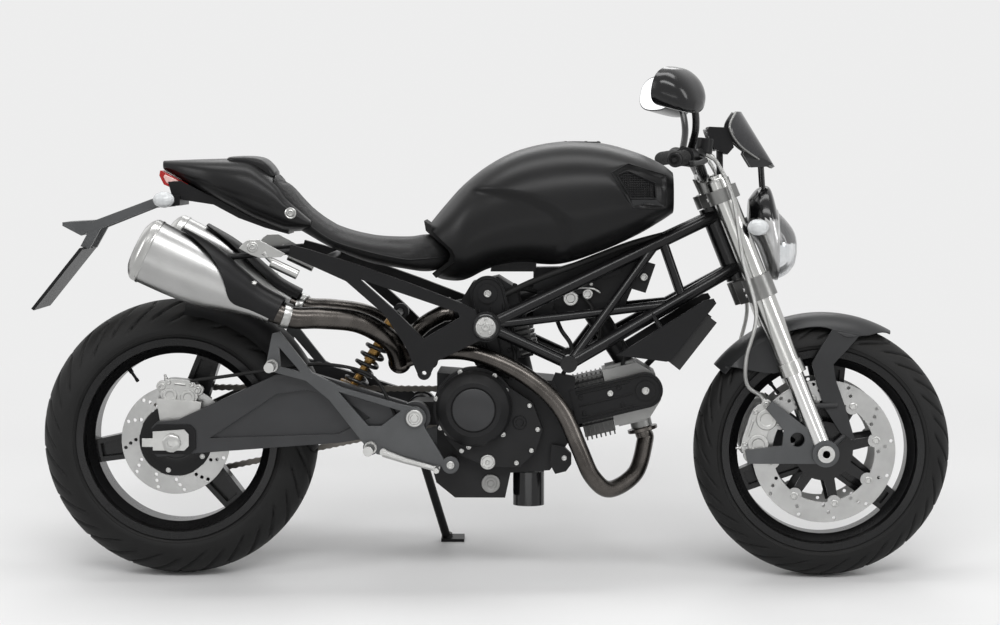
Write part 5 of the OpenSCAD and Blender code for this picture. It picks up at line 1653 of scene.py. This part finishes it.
        stations = [(-16, 1, 0), (6, 0.99, 1), (32, 0.84, 8), (52, 0.58, 18), (62, 0.25, 26)]
        shape = Shape().loft([ring(x, f, drop) for x, f, drop in smoothed(stations, 8)])
        inner = self.bar_path()[2]
        foot = Vector((inner.x + 11.0, inner.y - 42.0, inner.z + 17.0))
        stem = [centre + Vector((30, -44, -18)), centre + Vector((44, -62, -44)), Vector((1152, 244, 1004)), foot]
        shape.tube(smoothed(stem, 8), 8.0, 20)
        shape.mirrored().piece("mirror_shells", Body.STEERING, [PAINTS.gloss], ["mirrors"], sharp=44.0)
        glass = Shape().loft([ring(-18.5, 0.93), ring(-16.3, 0.94)]).mirrored()
        glass.piece("mirror_panes", Body.STEERING, [PAINTS.mirror], ["mirror_glasses"])

    def hoses(self) -> None:
        """Makes the braided brake hoses with their end fittings."""
        shape = Shape()
        points = [BAR_CLAMP + Vector((-8, 162, 58)), BAR_CLAMP + Vector((28, 152, 34))]
        down = [
            (1240, 152, 850), (1262, 150, 720), (1292, 148, 600), (1272, 128, 500), (1276, 100, 440), (1306, 84, 414),
            (1318, 84, 397),
        ]
        line = smoothed([*points, *down], 10)
        shape.tube(line, 4.5, 14)
        shape.paint(1).tube(line[:9], 6.0, 12)
        shape.tube(line[-7:], 6.0, 12)
        shape.mirrored().piece("braided_brake_hoses", Body.STEERING, [PAINTS.braid, PAINTS.zinc], ["brake_hoses"])


@dataclass
class Caliper:
    """A brake caliper over its disc, on the right side or on both."""

    name: str
    node: str
    body: Body
    centre: Vector
    disc_y: float
    angle: float
    inner: float
    outer: float
    half: float
    side: float
    lug: float
    both: bool = True
    inboard: float = 13.0
    gap: float = 7.6
    outline: tuple[tuple[float, float], ...] = (
        (0.02, 0), (0, 0.4), (0.02, 0.7), (0.12, 0.92), (0.3, 1), (0.6, 1), (0.82, 0.9), (0.96, 0.7),
        (1, 0.4), (1, 0),
    )

    def at(self, r: float, along: float, out: float) -> Vector:
        """Finds a point by the caliper.

        Args:
            r: Distance from the axle.
            along: Distance along the disc's edge.
            out: Distance outboard of the disc.

        Returns:
            The point in upright millimetres.
        """
        return self.centre + r * spoke(self.angle) + along * spoke(self.angle + 90.0) - (self.disc_y + out) * ACROSS

    def ring(self, out: float, low: float = 0.0) -> list[Vector]:
        """Draws the body's outline at one distance from the disc."""
        half = [(max(u, low), v) for u, v in self.outline]
        whole = [*half, *((u, -v) for u, v in reversed(half[1:-1]))]
        reach = self.outer - self.inner
        return [self.at(self.inner + reach * u, self.half * v, out) for u, v in whole]

    def build(self) -> None:
        """Makes the caliper with its pots, pins and bolts."""
        face = self.gap + self.side
        away = -ACROSS
        shape = Shape()
        shape.loft([self.ring(self.gap), self.ring(face)])
        shape.loft([self.ring(-self.gap - self.inboard), self.ring(-self.gap)])
        bridge = (self.lug + 9.5 - self.inner) / (self.outer - self.inner)
        shape.loft([self.ring(-self.gap - 1.0, bridge), self.ring(self.gap + 1.0, bridge)])
        for s in (-1, 1):
            pot = self.at(self.inner + 14.0, s * 0.48 * self.half, face)
            r = 0.36 * self.half
            profile = [(-2, r + 1.5), (0.8, r + 1.5), (2.4, r), (2.4, 0.66 * r), (1.0, 0.6 * r), (1, TIP)]
            shape.turned(profile, pot, away, 36)
            lug = self.at(self.lug, s * (self.half - 2.0), self.gap)
            tall = self.side - 4.0
            shape.turned([(0, TIP), (0, 13), (tall - 1, 13), (tall, 12), (tall, TIP)], lug, away, 28)
            shape.paint(1).bolt(lug - ACROSS * tall, away, 8.0, 6.0)
            shape.bolt(self.at(self.outer - 9.0, s * 0.62 * self.half, face), away, 5.5, 3.0)
            shape.paint(0)
        pin = [self.at(self.outer - 10.0, s * 0.3 * self.half, face + 0.5) for s in (-1, 1)]
        shape.paint(1).tube(pin, 3.0, 12)
        nipple = self.at(self.outer - 2.0, 0.8 * self.half, self.gap + 0.5 * self.side)
        way = self.at(10, 4, 0) - self.at(0, 0, 0)
        shape.turned([(-4, 4.5), (2, 4.5), (2.2, 3), (9, 3), (10, TIP)], nipple, way, 14)
        if self.both:
            shape.mirrored()
        else:
            self.carrier(shape.paint(0))
        shape.piece(self.name, self.body, [PAINTS.caliper, PAINTS.zinc], [self.node], sharp=36.0, bevel=1.6)

    def carrier(self, shape: Shape) -> None:
        """Adds the plate that ties the caliper to the axle."""
        shape.plate([(-26, 325), (-40, 408), (62, 400), (58, 372), (28, 318)], -117.7, -107.7)
        eye = [(0, 19.4), (0, 29), (1, 30), (9, 30), (10, 29), (10, 19.4)]
        shape.turned(eye, self.centre - ACROSS * 117.7, ACROSS, 40)


@dataclass
class Suspension:
    """Rear shock with its coil."""

    low: Vector = field(default_factory=lambda: Vector((372, 0, 398)))
    high: Vector = field(default_factory=lambda: Vector((500, 0, 596)))
    coil: float = 23.4
    wire: float = 4.6
    turns: int = 6

    def build(self) -> None:
        """Makes the shock."""
        axis = (self.high - self.low).normalized()
        length = (self.high - self.low).length
        shape = Shape()
        profile = [(17, TIP), (17, 9), (24, 9), (24, 31), (26, 31.5), (32, 31.5), (34, 30), (34, 13)]
        shape.turned(profile, self.low, axis)
        body = [(34, 9), (100, 9), (100, 13), (150, 13), (length - 62, 13), (length - 62, 30), (length - 60, 31.5)]
        body += [
            (length - 52, 31.5), (length - 50, 30), (length - 50, 20), (length - 20, 18), (length - 17, 12),
            (length - 17, TIP),
        ]
        shape.turned(body, self.low, axis)
        side, up = ACROSS, axis.cross(ACROSS)
        line = []
        for k in range(self.turns * 28 + 1):
            f = k / (self.turns * 28)
            a = 2 * math.pi * self.turns * f
            off = self.coil * (math.cos(a) * side + math.sin(a) * up)
            line.append(self.low + axis * (38 + f * (length - 104)) + off)
        shape.paint(1).tube(line, self.wire, 12)
        shape.paint(2)
        for end in (self.low, self.high):
            eye = [(-14, 8.4), (-14, 17), (-13, 18), (13, 18), (14, 17), (14, 8.4)]
            shape.turned([*eye, eye[0]], end, ACROSS, 32)
        shape.piece("coil_over_shock", Body.CHASSIS, [PAINTS.gold, PAINTS.spring, PAINTS.case], ["rear_shock"])


@dataclass
class Engine:
    """Screws, ribs, pipes and leads on the engine's cases."""

    clutch: tuple[float, float] = (670.0, 388.0)
    front_tilt: float = 13.5
    rear_tilt: float = 103.5
    belt_face: float = -91.0

    def on_bank(self, tilt: float, along: float, beside: float, y: float) -> Vector:
        """Finds a point by one cylinder.

        Args:
            tilt: The cylinder's angle above level.
            along: Distance from the crank along the cylinder.
            beside: Distance square to it.
            y: Distance to the left of the middle.

        Returns:
            The point in upright millimetres.
        """
        a = math.radians(tilt)
        c, t = math.cos(a), math.sin(a)
        return CRANK + Vector((along * c - beside * t, y, along * t + beside * c))

    def build(self) -> None:
        """Makes the engine's trim."""
        self.cover_screws()
        self.cover_rings()
        self.belt_trim()
        self.plumbing()
        self.leads()

    def cover_screws(self) -> None:
        """Makes the screws of the covers and of the case joints."""
        shape = Shape()
        right = -ACROSS
        x, z = self.clutch
        for turn in (58, 111, 166, 210, 262, 318):
            shape.bolt(Vector((x, 0.0, z)) + spoke(turn, 86.5, -121.0), right, 6.0, 11.0)
        for k in range(8):
            shape.bolt(CRANK + spoke(45.0 * k, 74.0, 119.0), ACROSS, 6.0, 6.0)
        for x, z in ((609, 332), (642, 293), (700, 267), (764, 266), (797, 294), (811, 341), (793, 394), (741, 428)):
            shape.bolt((x, -122.0, z), right, 5.5, 4.0)
        shape.bolt((870, -111, 276), right, 6.0, 4.0)
        shape.turned([(-2, 17), (3, 17), (4.5, 15.5), (4.5, 13), (2.5, 12), (2.5, TIP)], (700, -122, 268), right, 36)
        shape.piece("engine_cover_screws", Body.CHASSIS, [PAINTS.zinc])

    def cover_rings(self) -> None:
        """Makes the centre of the clutch cover, the plugs, the lug and the fins."""
        x, z = self.clutch
        shape = Shape()
        shape.turned([(0, 47), (-1.4, 46.4), (-2, 45), (-2, TIP)], (x, -167.6, z), ACROSS, 64)
        plug = [(2, 21), (-3, 21), (-4, 20), (-4, 14), (-3, 13), (-3, 8), (-5, 7), (-5, TIP)]
        shape.paint(3).turned(plug, (706, -92, 216), ACROSS, 40)
        shape.paint(1).plate([(842, 447), (850, 464), (894, 456), (894, 379), (870, 382)], -70.0, -89.0)
        shape.turned([(2, 15), (-3, 15), (-4, 14), (-4, 9), (-2, 8), (-2, TIP)], (771, -122, 356), ACROSS, 36)
        lug = [(842, 306), (868, 302), (886, 284), (886, 262), (874, 246), (850, 240), (838, 262)]
        shape.plate(lug, -80.0, -111.0)
        self.fins(shape.paint(2))
        finishes = [PAINTS.arm, PAINTS.case, PAINTS.barrel, PAINTS.clamp]
        shape.piece("engine_case_trim", Body.CHASSIS, finishes, sharp=30.0)

    def fins(self, shape: Shape) -> None:
        """Adds the cooling fins of both barrels."""
        for tilt, lowest, highest in ((self.front_tilt, -84.0, 62.0), (self.rear_tilt, -80.0, 66.0)):
            core = [(lowest + 9, -54), (highest - 4, -54), (highest - 4, 54), (lowest + 9, 54)]
            shape.loft([[self.on_bank(tilt, u, v, y) for v, y in core] for u in (137, 207)])
            for k in range(7):
                u = 139.0 + 10.5 * k
                ring = [
                    (lowest + 14, -60), (highest - 14, -60), (highest, -46), (highest, 46), (highest - 14, 60),
                    (lowest + 14, 60), (lowest, 46), (lowest, -46),
                ]
                shape.loft([[self.on_bank(tilt, u + d, v, y) for v, y in ring] for d in (0, 3.2)])

    def belt_trim(self) -> None:
        """Makes the ribs, bosses and screws of the belt covers."""
        dark, bright = Shape(), Shape()
        out, rib = -ACROSS, self.belt_face - 0.4
        for tilt, low in ((self.front_tilt, 140.0), (self.rear_tilt, 150.0)):
            for beside in (-27, 0, 27):
                line = [self.on_bank(tilt, u, beside, rib) for u in (low, low + 30, 220, 262)]
                dark.tube(line, 2.2, 10)
            edge = []
            for k in range(25):
                a = math.radians(-90.0 + 7.5 * k)
                edge.append(self.on_bank(tilt, 292 + 34 * math.cos(a), 34 * math.sin(a), rib))
            dark.tube([self.on_bank(tilt, low, -34, rib), *edge, self.on_bank(tilt, low, 34, rib)], 2.0, 10)
            for u, v in ((low + 8, 18), (low + 8, -18), (236, 20), (236, -20)):
                dark.bolt(self.on_bank(tilt, u, v, self.belt_face), out, 5.5, 3.0)
            bright.bolt(self.on_bank(tilt, 292, 0, self.belt_face - 5.0), out, 9.0, 4.0)
        bright.bolt(self.on_bank(self.front_tilt, 214, 12, self.belt_face), out, 7.0, 4.0)
        dark.piece("belt_cover_ribs", Body.CHASSIS, [PAINTS.plastic], sharp=30.0)
        bright.piece("belt_cover_screws", Body.CHASSIS, [PAINTS.zinc])

    def plumbing(self) -> None:
        """Makes the oil lines and the rear brake line."""
        shape = Shape()
        for y in (78, 92):
            line = [
                (1104, y - 18, 520), (1076, y + 2, 486), (1010, y + 10, 420), (930, y + 10, 352), (872, y, 318),
                (838, y - 16, 306),
            ]
            shape.tube(smoothed(line, 8), 6.5, 14)
        brake = [
            (508, -148, 342), (486, -148, 396), (440, -132, 462), (330, -131, 486), (200, -131, 470),
            (104, -124, 456), (50, -112, 448), (26, -104, 438),
        ]
        shape.tube(smoothed(brake, 8), 4.0, 12)
        shape.paint(1)
        union = [(-8, TIP), (-8, 9), (14, 9), (15, 8), (15, TIP)]
        for y in (60, 74):
            shape.turned(union, (838, y + 2, 306), (1, 0.3, 0.2), 6)
            shape.turned(union, (1104, y, 520), (0.6, -0.4, 0.7), 6)
        shape.turned([(0, TIP), (0, 7), (12, 7), (13, 6), (13, TIP)], (26, -98, 438), (0, -1, 0), 6)
        shape.piece("oil_and_brake_lines", Body.CHASSIS, [PAINTS.grip, PAINTS.zinc])

    def leads(self) -> None:
        """Makes the plug leads, the loom and the small units inside the frame."""
        shape = Shape()
        for path, r in (
            ([(962, -24, 596), (985, -44, 560), (1004, -56, 520), (1000, -58, 476)], 4.5),
            ([(812, -30, 640), (770, -52, 650), (726, -58, 640), (700, -58, 610)], 4.5),
            ([(720, -84, 630), (800, -78, 668), (900, -66, 706), (1010, -50, 748), (1090, -36, 770)], 7.0),
            ([(846, -40, 600), (862, -64, 560), (886, -76, 520), (872, -80, 470), (846, -84, 430)], 5.0),
            ([(900, -36, 640), (930, -54, 610), (950, -62, 560), (944, -66, 520)], 4.0),
            ([(760, -40, 660), (742, -66, 600), (748, -84, 540), (760, -90, 500), (748, -96, 450)], 5.0),
        ):
            shape.tube(smoothed(path, 8), r, 14)
        shape.paint(1)
        for x, z, wide, tall, turn in ((905, 655, 64, 34, 12), (826, 618, 40, 52, -6), (972, 690, 44, 26, 18)):
            corners = ((-0.5, -0.5), (0.5, -0.5), (0.5, 0.5), (-0.5, 0.5))
            box = [spoke(turn, wide * u) + spoke(turn + 90.0, tall * v) for u, v in corners]
            shape.plate([(x + p.x, z + p.z) for p in box], -33.5, -46.0)
        shape.plate([(1012, 652), (1052, 640), (1074, 704), (1034, 716)], -16.0, -38.0)
        shape.plate([(704, 688), (708, 712), (806, 714), (806, 688)], -44.0, 44.0)
        shape.paint(2)
        for x, y, z, r in ((884, -40, 628, 17), (922, -40, 638, 12), (1048, -37, 676, 9)):
            cap = [(-3, r), (9, r), (10.5, r - 1.5), (10.5, 0.6 * r), (7, 0.55 * r), (7, TIP)]
            shape.turned(cap, (x, y, z), -ACROSS, 28)
        shape.tube(smoothed([(884, -47, 645), (906, -50, 652), (934, -50, 650), (950, -46, 640)], 6), 3.0, 10)
        for x, z in ((880, 648), (930, 660), (826, 636)):
            shape.bolt((x, -46.0, z), -ACROSS, 4.0, 2.5)
        shape.piece("frame_leads_and_units", Body.CHASSIS, [PAINTS.grip, PAINTS.plastic, PAINTS.zinc], bevel=1.2)


@dataclass
class Fasteners:
    """Bolts, caps and nuts of the frame, the fork and the axles."""

    def build(self) -> None:
        """Makes the fasteners."""
        self.chassis()
        self.steering()

    def chassis(self) -> None:
        """Makes those of the frame and the swingarm."""
        shape, pivot = Shape(), Vector((697, 165, 571))
        shape.paint(1).turned([(-1, 24), (-1, 29), (4, 29), (6, 27), (6, 24), (-1, 24)], pivot, ACROSS, 44)
        cover = [(-2, 24), (3, 24), (4.5, 22), (3.5, 9), (5.5, 8), (5.5, 4), (3, 3), (3, TIP)]
        shape.paint(0).turned(cover, pivot, ACROSS, 44)
        for k in range(5):
            shape.bolt(pivot + spoke(72.0 * k + 18.0, 15.5, 3.6), ACROSS, 3.2, 2.2)
        cap = [(-1, 19), (2, 19), (3.2, 18), (3.2, 14), (1.6, 13), (1.6, 9), (5, 8), (5, TIP)]
        shape.turned(cap, (540, 174, 370), ACROSS, 36)
        self.axle_end(shape)
        for at in ((619, 168, 266), (880, 106, 487)):
            shape.bolt(at, ACROSS, 9.0, 5.0)
        finishes = [PAINTS.zinc, PAINTS.gloss, PAINTS.plastic]
        shape.mirrored().piece("frame_caps_and_bolts", Body.CHASSIS, finishes)

    @staticmethod
    def axle_end(shape: Shape) -> None:
        """Adds the left chain adjuster's plates and axle nut."""
        edge = [
            (-66, 322), (-66, 303), (-42, 303), (-42, 295), (28, 295), (38, 305), (38, 331), (28, 342), (-42, 337),
            (-42, 322),
        ]
        shape.plate(edge, 152.2, 154.6)
        nut = [(-0.5, 8.7), (-0.5, 21), (3, 21), (4, 19.5), (4, 8.7), (-0.5, 8.7)]
        shape.turned(nut, (0, 161.2, 312), ACROSS, 6)
        surround = [(-46, 342), (-34, 352), (40, 352), (53, 339), (53, 299), (40, 286), (-46, 286)]
        shape.paint(2).plate(surround, 144.05, 148.5).paint(0)

    def steering(self) -> None:
        """Makes those of the clamps and the fork legs."""
        shape = Shape()
        for side in Side:
            foot = leg_point(652.0, 0.0, side.value * LEG_Y)
            shape.turned([(-2, TIP), (-2, 23), (3, 23), (4.5, 21.5), (4.5, TIP)], foot, LEG_UP, 36)
            shape.turned([(4, 12), (9, 12), (10, 11), (10, 5), (7, 4.6), (7, TIP)], foot, LEG_UP, 6)
            for t, ahead in ((618, -34), (404, -32), (390, -32)):
                at = leg_point(t, ahead, side.value * LEG_Y)
                shape.bolt(at, -LEG_AHEAD, 5.0, 4.0)
            for ahead in (-16, 8):
                at = leg_point(-12.0, ahead, side.value * 110.0)
                shape.bolt(at, -LEG_UP, 5.0, 4.0)
        shape.turned([(-4, 19), (6, 19), (8, 17), (8, 9), (5, 8), (5, TIP)], leg_point(627.0, -30.0), LEG_UP, 6)
        shape.piece("fork_caps_and_bolts", Body.STEERING, [PAINTS.zinc])


@dataclass
class Carried:
    """Solids that are shown as they were packed, each with its finish."""

    finishes: tuple[tuple[Finish, tuple[str, ...]], ...] = (
        (PAINTS.wheel, ("rear_wheel", "front_wheel")),
        (PAINTS.disc_rear, ("rear_disc",)),
        (PAINTS.disc_front, ("front_discs",)),
        (PAINTS.chain, ("rear_sprocket", "drive_chain")),
        (PAINTS.arm, ("swingarm",)),
        (PAINTS.zinc, ("rear_axle", "foot_controls", "front_axle")),
        (PAINTS.plastic, (
            "hugger", "subframe", "belt_covers", "airbox",
            "cooler_shrouds", "undertray", "instruments", "side_stand",
        )),
        (PAINTS.frame, ("trellis_frame",)),
        (PAINTS.block, ("crankcase",)),
        (PAINTS.case, ("clutch_cover", "alternator_cover", "cylinder_barrels")),
        (PAINTS.gloss, ("oil_filter",)),
        (PAINTS.cooler, ("oil_cooler",)),
        (PAINTS.hanger, ("footrest_brackets",)),
        (PAINTS.fork, ("fork_tubes",)),
        (PAINTS.clamp, ("triple_clamps",)),
    )
    rounded: dict[str, float] = field(
        default_factory=lambda: {
            "subframe": 5.0, "footrest_brackets": 4.0, "swingarm": 5.0, "cooler_shrouds": 4.0, "triple_clamps": 2.5,
            "instruments": 6.0, "undertray": 4.0, "belt_covers": 5.0, "crankcase": 4.0, "hugger": 2.0,
            "clutch_cover": 3.0, "alternator_cover": 3.0, "side_stand": 2.5, "front_wheel": 2.0, "rear_wheel": 2.0,
        }
    )

    def dress(self, nodes: dict[str, bpy.types.Object]) -> None:
        """Gives every shown solid its finish.

        Args:
            nodes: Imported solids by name.
        """
        for finish, names in self.finishes:
            for name in names:
                obj = nodes[name]
                if not obj.material_slots:
                    obj.data.materials.append(None)
                for slot in obj.material_slots:
                    slot.material = finish.material()
                if name in self.rounded:
                    soften_edges(obj, self.rounded[name], 3)
                LOG.info("%s: carried over in %s", name, finish.name)


@dataclass
class Studio:
    """Pale floor, soft light and the photograph's camera."""

    eye: Vector = field(default_factory=lambda: Vector((871.0, -5900.0, 960.0)))
    focal: float = 2614.0
    width: float = 1000.0
    frame: tuple[float, float] = (500.0, 312.5)
    vanish: tuple[float, float] = (565.0, 150.0)
    floor_colour: tuple[float, float, float] = (0.78, 0.78, 0.78)
    fade: tuple[float, float] = (0.7, 2.0)
    sky: float = 0.36
    backdrop: float = 0.85

    def build(self) -> None:
        """Makes the floor, the lights and the camera."""
        self.floor()
        self.lights()
        self.camera()
        bpy.context.scene.view_settings.view_transform = "Standard"

    def floor(self) -> None:
        """Makes a wide floor with a faint mottle."""
        mesh = bpy.data.meshes.new("studio_floor")
        far = 14.0
        mesh.from_pydata([(-far, -far, 0), (far, -far, 0), (far, far, 0), (-far, far, 0)], [], [(0, 1, 2, 3)])
        obj = bpy.data.objects.new("studio_floor", mesh)
        bpy.context.scene.collection.objects.link(obj)
        sheet = Sheet("studio_floor_paint")
        speck = sheet.noise(sheet.place(), 3.0, 3.0)
        dark = (*(0.97 * c for c in self.floor_colour), 1.0)
        sheet.set("Base Color", sheet.blend(speck, dark, (*self.floor_colour, 1.0)))
        sheet.set("Roughness", 0.6 + speck * 0.1)
        x, y, _ = sheet.parts(sheet.wire("ShaderNodeTexCoord", {}, out="Object"))
        away = ((x * x * 0.55 + y * y) ** 0.5).step(self.fade[0], self.fade[1])
        white = sheet.node("ShaderNodeEmission", {}, (1.0, 1.0, 1.0, 1.0), self.backdrop)
        mixed = sheet.node("ShaderNodeMixShader", {}, away * sheet.looked_at())
        sheet.tree.links.new(sheet.shader.outputs[0], mixed.inputs[1])
        sheet.tree.links.new(white.outputs[0], mixed.inputs[2])
        sheet.tree.links.new(mixed.outputs[0], sheet.tree.nodes["Material Output"].inputs["Surface"])
        mesh.materials.append(sheet.material)

    def lights(self) -> None:
        """Makes the sky and the soft lamps."""
        sky = SkySheet("studio_sky")
        sky.set("Strength", self.sky + (self.backdrop - self.sky) * sky.looked_at())
        for name, at, aim, size, power in (
            ("overhead_soft_box", (0.0, 0.3, 3.6), (0.0, 0.0, 0.5), (3.8, 1.0), 62.0),
            ("side_soft_box", (0.2, -2.9, 3.5), (0.0, 0.0, 0.5), (3.8, 0.8), 80.0),
            ("low_soft_box", (0.0, -4.6, 0.5), (0.0, 0.0, 0.4), (4.0, 0.3), 10.0),
            ("front_soft_box", (3.4, -1.8, 1.9), (0.6, 0.0, 0.6), (0.9, 1.8), 28.0),
            ("rear_soft_box", (-2.6, 2.0, 1.95), (0.0, 0.0, 0.8), (1.6, 1.6), 6.0),
            ("tail_soft_box", (-3.4, -1.6, 2.2), (-0.5, 0.0, 0.7), (0.9, 1.6), 28.0),
            ("far_soft_box", (0.0, 4.0, 2.8), (0.0, 0.0, 0.6), (3.0, 1.0), 30.0),
        ):
            data = bpy.data.lights.new(name, "AREA")
            data.shape = "RECTANGLE"
            data.size, data.size_y = size
            data.energy = power
            lamp = bpy.data.objects.new(name, data)
            lamp.location = at
            lamp.rotation_mode = "QUATERNION"
            lamp.rotation_quaternion = (Vector(aim) - Vector(at)).to_track_quat("-Z", "Y")
            bpy.context.scene.collection.objects.link(lamp)

    def camera(self) -> None:
        """Places the camera as the photograph's, leaning with the machine."""
        off = (Vector(self.frame) - Vector(self.vanish)) / self.focal
        ahead = Vector((off.x, 1.0, -off.y)).normalized()
        right = ahead.cross(Vector((0.0, 0.0, 1.0))).normalized()
        up = right.cross(ahead)
        turn = STANCE.to_3x3().normalized()
        axes = Matrix((turn @ right, turn @ up, turn @ -ahead)).transposed()
        data = bpy.data.cameras.new("photo_camera")
        data.sensor_width = 36.0
        data.lens = 36.0 * self.focal / self.width
        data.clip_end = 60.0
        camera = bpy.data.objects.new("photo_camera", data)
        camera.matrix_world = Matrix.Translation(STANCE @ self.eye) @ axes.to_4x4()
        bpy.context.scene.collection.objects.link(camera)
        bpy.context.scene.camera = camera


def main() -> None:
    """Loads the solids, dresses them and sets the stage."""
    logging.basicConfig(level=logging.INFO, format="%(message)s")
    for obj in list(bpy.data.objects):
        bpy.data.objects.remove(obj)
    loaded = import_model()
    for assembly in (
        Wheels, FuelTank, Seat, Tail, Exhaust, FrontFender, Headlight, Cockpit, Engine, Suspension, Fasteners
    ):
        assembly().build()
    Caliper(
        "front_caliper_pair", "front_calipers", Body.STEERING, FRONT_AXLE,
        disc_y=66.0, angle=162.0, inner=132.0, outer=184.0, half=62.0, side=21.0, lug=156.0,
    ).build()
    Caliper(
        "rear_caliper_set", "rear_caliper", Body.CHASSIS, REAR_AXLE,
        disc_y=88.0, angle=84.0, inner=86.0, outer=138.0, half=42.0, side=16.0, lug=118.0, both=False,
    ).build()
    for solid in (
        CylinderHeads("cylinder_heads", "painted_heads", Body.CHASSIS, (PAINTS.head, PAINTS.case)),
        PlateHanger("plate_holder", "painted_plate_hanger", Body.CHASSIS, (PAINTS.hanger, PAINTS.plastic)),
        ForkLegs("fork_stanchions", "plated_fork_legs", Body.STEERING, (PAINTS.chrome, PAINTS.hanger)),
    ):
        solid.build(loaded["nodes"])
    Carried().dress(loaded["nodes"])
    Studio().build()


if __name__ == "__main__":
    main()
